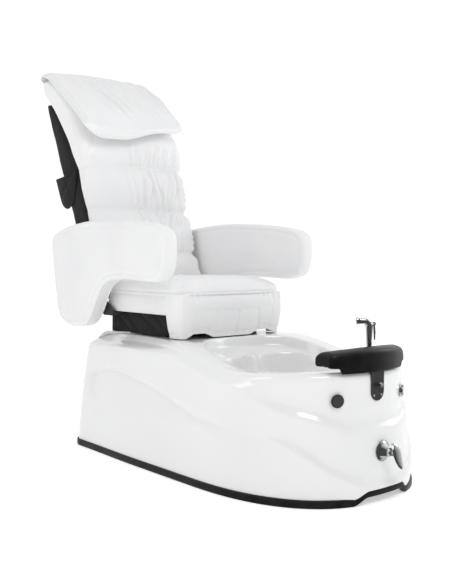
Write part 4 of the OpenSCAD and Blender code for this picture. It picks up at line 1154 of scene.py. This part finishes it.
def inward_normals(loop):
    """Unit directions from each point of a closed outline into it."""
    tangent = np.roll(loop, -1, 0) - np.roll(loop, 1, 0)
    normal = unit(np.column_stack([-tangent[:, 1], tangent[:, 0]]))
    area = np.sum(loop[:, 0] * np.roll(loop[:, 1], -1) - loop[:, 1] * np.roll(loop[:, 0], -1))
    return normal if area > 0 else -normal


def face_fill(edge, step):
    """Points inside a closed outline on an even grid, and the triangles that fill it."""
    lo, hi = edge.min(0), edge.max(0)
    ys, zs = (np.arange(lo[k] + step / 2, hi[k], step) for k in (0, 1))
    grid = np.stack(np.meshgrid(ys, zs, indexing="ij"), -1).reshape(-1, 2)
    nearest = np.min(np.linalg.norm(grid[:, None] - edge[None], axis=2), axis=1)
    grid = grid[nearest > step * 0.6]
    points = [Vector(p) for p in np.concatenate([edge, grid])]
    made = delaunay_2d_cdt(points, [], [list(range(len(edge)))], 1, 1e-7)
    inside = np.array([v[:] for v in made[0]])
    return inside, [list(f) for f in made[2]]


def arm_points(t, side):
    """From the arm's own side view and thickness to the chair's frame, for one side."""
    y, z, w = t.T
    x = ARM_INNER_X + w
    dy = y - ARM_PIVOT_Y
    turned_x = x * math.cos(ARM_SPLAY) - dy * math.sin(ARM_SPLAY)
    turned_y = x * math.sin(ARM_SPLAY) + dy * math.cos(ARM_SPLAY) + ARM_PIVOT_Y
    return np.column_stack([side * turned_x, turned_y, z])


def make_arm(side):
    """A flat pad with rounded edges, crowned faces and gathers under its rear lobe."""
    name = "left" if side > 0 else "right"
    count = 420
    loop = smooth_line(ARM_OUTLINE, count, closed=True)
    normal = inward_normals(loop)
    half = ARM_T / 2
    rows = []
    for a in np.radians((0, 18, 36, 54, 72, 90)):
        rows.append((ARM_EDGE_R * (1 - math.cos(a)), (half - ARM_EDGE_R) + ARM_EDGE_R * math.sin(a)))
    profile = [(o, -h) for o, h in rows[::-1]] + [(0, -0.007), (-0.0006, 0), (0, 0.007)] + rows
    rings = np.array([np.column_stack([loop + normal * o, np.full(count, half + h)]) for o, h in profile])
    verts = rings.reshape(-1, 3)
    faces = tube_faces(len(rings), count).tolist()
    inside, triangles = face_fill(loop + normal * ARM_SEAM, 0.0078)
    for first, w in ((0, 0.0), (len(rings) - 1, ARM_T)):
        shift = len(verts)
        verts = np.concatenate([verts, np.column_stack([inside, np.full(len(inside), w)])])
        faces += [[i + shift for i in f] for f in triangles]
        start = first * count
        faces += [[start + i, start + (i + 1) % count, shift + (i + 1) % count, shift + i]
                  for i in range(count)]
    y, z, w = verts.T
    gap = np.min(np.linalg.norm(verts[:, None, :2] - loop[None, ::3], axis=2), axis=1)
    outer = np.sign(w - half) * (np.abs(w - half) > half - 0.004)
    crown = 0.0015 + 0.0065 * np.clip((gap - 0.02) / 0.09, 0, 1) ** 0.7
    seam = -0.003 * blob(gap, ARM_SEAM, 0.0035)
    lobe = 1 - ease(z, 0.50, 0.60)
    draws = random.Random(3)
    gathers = sum(draws.uniform(0.004, 0.007) * crease(y - 1.15 - 0.0185 * k - 0.10 * (z - 0.47), 0.0075)
                  * (1 - ease(z, 0.47 + draws.uniform(0.02, 0.05), 0.5 + draws.uniform(0.05, 0.1)))
                  for k in range(16))
    verts = np.column_stack([y, z, w + outer * (crown + seam + gathers * lobe * ease(gap, 0.004, 0.02))])
    verts[:, 1] += 0.0016 * np.sin(y * 520) * (np.abs(w - half) <= half - 0.004) * lobe
    pad = make_round_piece(f"arm_{name}_skin", arm_points(verts, side), faces, "vinyl_white", f"arm_{name}",
                           f"arm_pad_{name}")
    lower = loop[(loop[:, 0] > 0.99) & (loop[:, 0] < 1.30) & (loop[:, 1] < 0.66)]
    lower = lower[np.argsort(lower[:, 0])]
    welt = smooth_line(lower[::6], 90)
    for face, w in (("outer", ARM_T - 0.009), ("inner", 0.009)):
        path = arm_points(np.column_stack([welt[:, 0], welt[:, 1] + 0.0035, np.full(len(welt), w)]), side)
        make_piece(f"arm_{name}_piping_{face}", *tube_along(path, 0.0038), "vinyl_white", f"arm_{name}")


# --- Black box under the seat ---------------------------------------------------------------

def make_seat_base_cover():
    """The black cloth box under the seat, open where the rails pass."""
    rows, count = 40, 240
    lo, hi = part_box("seat_base_cover")
    foot, head = lo.z - 0.0045, hi.z
    rings = []
    for k in np.linspace(0, 1, rows):
        z = foot + (head - foot) * k
        front = float(np.interp(z, (0.447, 0.503, 0.526), (0.8, 0.771, 0.781)))
        plan = seat_plan(count, hi.x - 0.0015, front, 1.178, 0.016, 0.016)
        rings.append(np.column_stack([plan, np.full(count, z)]))
    verts = np.array(rings).reshape(-1, 3)
    x, y, z = verts.T
    # Distance from the toe, lean, depth and width of each fold
    folds = [(0.84, 1.5, 0.003, 0.014), (0.92, 1.9, 0.004, 0.018), (1.03, 1.2, 0.003, 0.016),
             (1.1, 1.7, 0.003, 0.014)]
    fold = sum(size * blob(((y - place) - lean * (z - 0.49)) / width, 0, 1)
               for place, lean, size, width in folds)
    fold = fold + 0.002 * soft_noise(verts, 22, 8)
    side = ease(np.abs(x), 0.2, 0.219)
    verts[:, 0] -= np.sign(x) * side * np.clip(fold, 0, 0.008)
    wave = 0.004 * soft_noise(verts * (1, 0.2, 1), 17, 9)
    verts[:, 1] += np.where(y < 0.86, np.abs(wave) * (1 - side), 0)
    faces = tube_faces(rows, count)
    cover = make_piece("base_cover_skin", verts, faces, "cloth_black", "seat", "seat_base_cover")
    thicken(cover, 0.003, -1)
    rail_lo, rail_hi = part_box("seat_rails")
    rail_h = rail_hi.z - rail_lo.z + 0.004
    cut(cover, [cutter("box", (s * RAIL_X, 0.99, rail_lo.z + rail_h / 2), (0.034, 0.6, rail_h))
                for s in (-1, 1)])
    finish_piece(cover, "cloth_black", "seat", "seat_base_cover")
    top = seat_plan(200, hi.x - 0.001, 0.781, 1.178, 0.016, 0.016)
    welt = np.column_stack([top, np.full(200, head - 0.003)])
    make_piece("base_cover_piping", *tube_along(welt, 0.0028, closed=True), "cloth_black", "seat")


# --- Footrest pad, sprayer and lever --------------------------------------------------------

def make_footrest_pad():
    """A moulded band that bows forwards, rolls over its front edge and is thinner under its ends."""
    lo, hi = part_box("footrest_pad")
    half, base, top = hi.x, lo.z + 0.019, hi.z
    # Share of the way from front to rear, height
    section = [(0.06, lo.z), (0.0, lo.z + 0.002), (-0.02, lo.z + 0.016), (-0.012, lo.z + 0.034),
               (0.03, top - 0.018), (0.12, top - 0.008), (0.27, top - 0.003), (0.5, top),
               (0.74, top - 0.0015), (0.9, top - 0.008), (0.985, top - 0.019), (1.0, top - 0.034),
               (0.985, base + 0.008), (0.93, base), (0.6, base), (0.3, base), (0.15, base),
               (0.11, base - 0.002)]
    profile = smooth_line(section, 84, closed=True)
    ends = np.sin(np.linspace(-math.pi / 2, math.pi / 2, 150))
    rings = []
    for u in ends:
        round_off = 1 - math.sqrt(max(0.0, 1 - max(0.0, (abs(u) - 0.9) / 0.1) ** 2))
        depth = 0.060 + 0.014 * u * u
        front = 0.019 + 0.040 * u * u
        share = profile[:, 0] + (0.5 - profile[:, 0]) * 0.26 * round_off
        z = profile[:, 1] - 0.010 * u * u * ease(profile[:, 1], base, top)
        z = z + (base + 0.012 - z) * 0.42 * round_off
        notch = ease(abs(u), 0.80, 0.86) * (profile[:, 1] < base)
        z = z + notch * (base - z) * 0.85
        rings.append(np.column_stack([np.full(len(z), u * half), front + share * depth, z]))
    verts, faces = ring_loft(rings)
    verts[:, 1] += blob(verts[:, 2], base + 0.006, 0.0016) * 0.0008
    pad = make_round_piece("footrest_pad_skin", verts, faces, "pad_black", "footrest", "footrest_pad")


def swept(path, radii, count=40):
    """A round bar of changing radius along a path, with rounded ends."""
    path, radii = np.asarray(path, float), np.asarray(radii, float)
    tangent = unit(np.gradient(path, axis=0))
    side = unit(np.cross(tangent, (0.65, 0.76, 0.0)))
    over = np.cross(side, tangent)
    a = np.linspace(0, 2 * math.pi, count, endpoint=False)
    return [p + r * (np.cos(a)[:, None] * s + np.sin(a)[:, None] * o)
            for p, r, s, o in zip(path, radii, side, over)]


def make_sprayer():
    """Handle, neck and head in one, with the two ears that hold the trigger."""
    lo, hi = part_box("sprayer")
    ahead = np.array([math.cos(SPRAYER_TURN), math.sin(SPRAYER_TURN), 0])
    foot, top = lo.z, hi.z
    # Distance ahead of the handle and height, then the radius
    points = [((0, foot), 0.009), ((0, 0.396), 0.009), ((0, 0.3975), 0.0105), ((0, 0.4035), 0.0105),
              ((0, 0.405), 0.0072), ((0, 0.43), 0.0075), ((0, 0.47), 0.0092), ((0, 0.5), 0.0108),
              ((0, 0.512), 0.0116), ((0.001, 0.5165), 0.0116), ((0.004, 0.5225), 0.0113),
              ((0.009, 0.5268), 0.011), ((0.015, 0.529), 0.0106), ((0.022, 0.5292), 0.0102),
              ((0.0325, 0.529), 0.0102), ((0.0335, 0.529), 0.0116), ((0.0405, 0.529), 0.0118),
              ((0.042, 0.529), 0.0108), ((0.042, 0.529), 0.0086), ((0.0395, 0.529), 0.0080)]
    path = np.array([np.array([SPRAYER_X, SPRAYER_Y, z]) + ahead * out for (out, z), _ in points])
    path[-2:] += ahead * 1e-5
    path[:, 2] = np.minimum(path[:, 2], top)
    verts, faces = ring_loft(swept(path, [r for _, r in points]))
    side = np.array([-math.sin(SPRAYER_TURN), math.cos(SPRAYER_TURN), 0])
    for off in (-0.007, 0.007):
        ear = [np.array([SPRAYER_X, SPRAYER_Y, z]) + ahead * a + side * off for a, z in
               ((-0.006, 0.512), (-0.0185, 0.518), (-0.0155, 0.5255), (-0.004, 0.5262))]
        ear = swept(smooth_line(ear, 14), np.full(14, 0.0017), 10)
        verts, faces = add_mesh((verts, faces), ring_loft(ear))
    make_round_piece("sprayer_body", verts, faces, "chrome", "hand_sprayer", "sprayer")


def make_lever():
    """The mixer's lever: a spoon that widens over its pin and narrows to a drop at its tip."""
    y0, z0 = -0.024, MIXER_Z
    # From the pin: how far back, how far up
    spine = smooth_line([(0.004, 0.030), (-0.006, 0.025), (-0.013, 0.012), (-0.018, -0.004), (-0.024, -0.020),
                         (-0.031, -0.035), (-0.035, -0.042)], 60)
    k = np.linspace(0, 1, 60)
    stops = (0, 0.08, 0.3, 0.45, 0.7, 0.9, 1)
    half_w = np.interp(k, stops, (0.002, 0.010, 0.0175, 0.0195, 0.016, 0.0105, 0.0015))
    half_t = np.interp(k, stops, (0.0012, 0.004, 0.0052, 0.005, 0.004, 0.0035, 0.001))
    tangent = unit(np.gradient(spine, axis=0))
    out = np.column_stack([-tangent[:, 1], tangent[:, 0]])
    a = np.linspace(0, 2 * math.pi, 44, endpoint=False)
    rings = []
    for (y, z), w, t, (ny, nz) in zip(spine, half_w, half_t, out):
        bulge = t * np.sin(a)
        rings.append(np.column_stack([w * np.cos(a), y0 + y + ny * bulge - 0.007, z0 + z + nz * bulge]))
    blade = ring_loft(rings)
    pin = ring_loft(swept([(s, y0, z0) for s in np.linspace(-0.011, 0.011, 8)], np.full(8, 0.002), 20))
    root_x = 0.006 * np.sign(np.cos(a)) * np.abs(np.cos(a)) ** 0.5
    root_z = z0 + 0.0035 * np.sign(np.sin(a)) * np.abs(np.sin(a)) ** 0.5
    root = [np.column_stack([root_x, np.full(44, y0 + d), root_z]) for d in np.linspace(0.002, -0.022, 8)]
    verts, faces = add_mesh(add_mesh(blade, pin), ring_loft(root))
    make_round_piece("lever_spoon", verts, faces, "chrome", "lever", "mixer_lever")


# --- The whole chair ------------------------------------------------------------------------

make_camera()
make_stage()
dress_cad_nodes()
make_tub()
make_bumper()
make_seat_cushion()
make_apron()
make_seat_base_cover()
make_back_cushion()
make_rear_shell()
make_side_pocket()
make_head_flap()
for arm_side in (-1, 1):
    make_arm(arm_side)
make_footrest_pad()
make_sprayer()
make_lever()
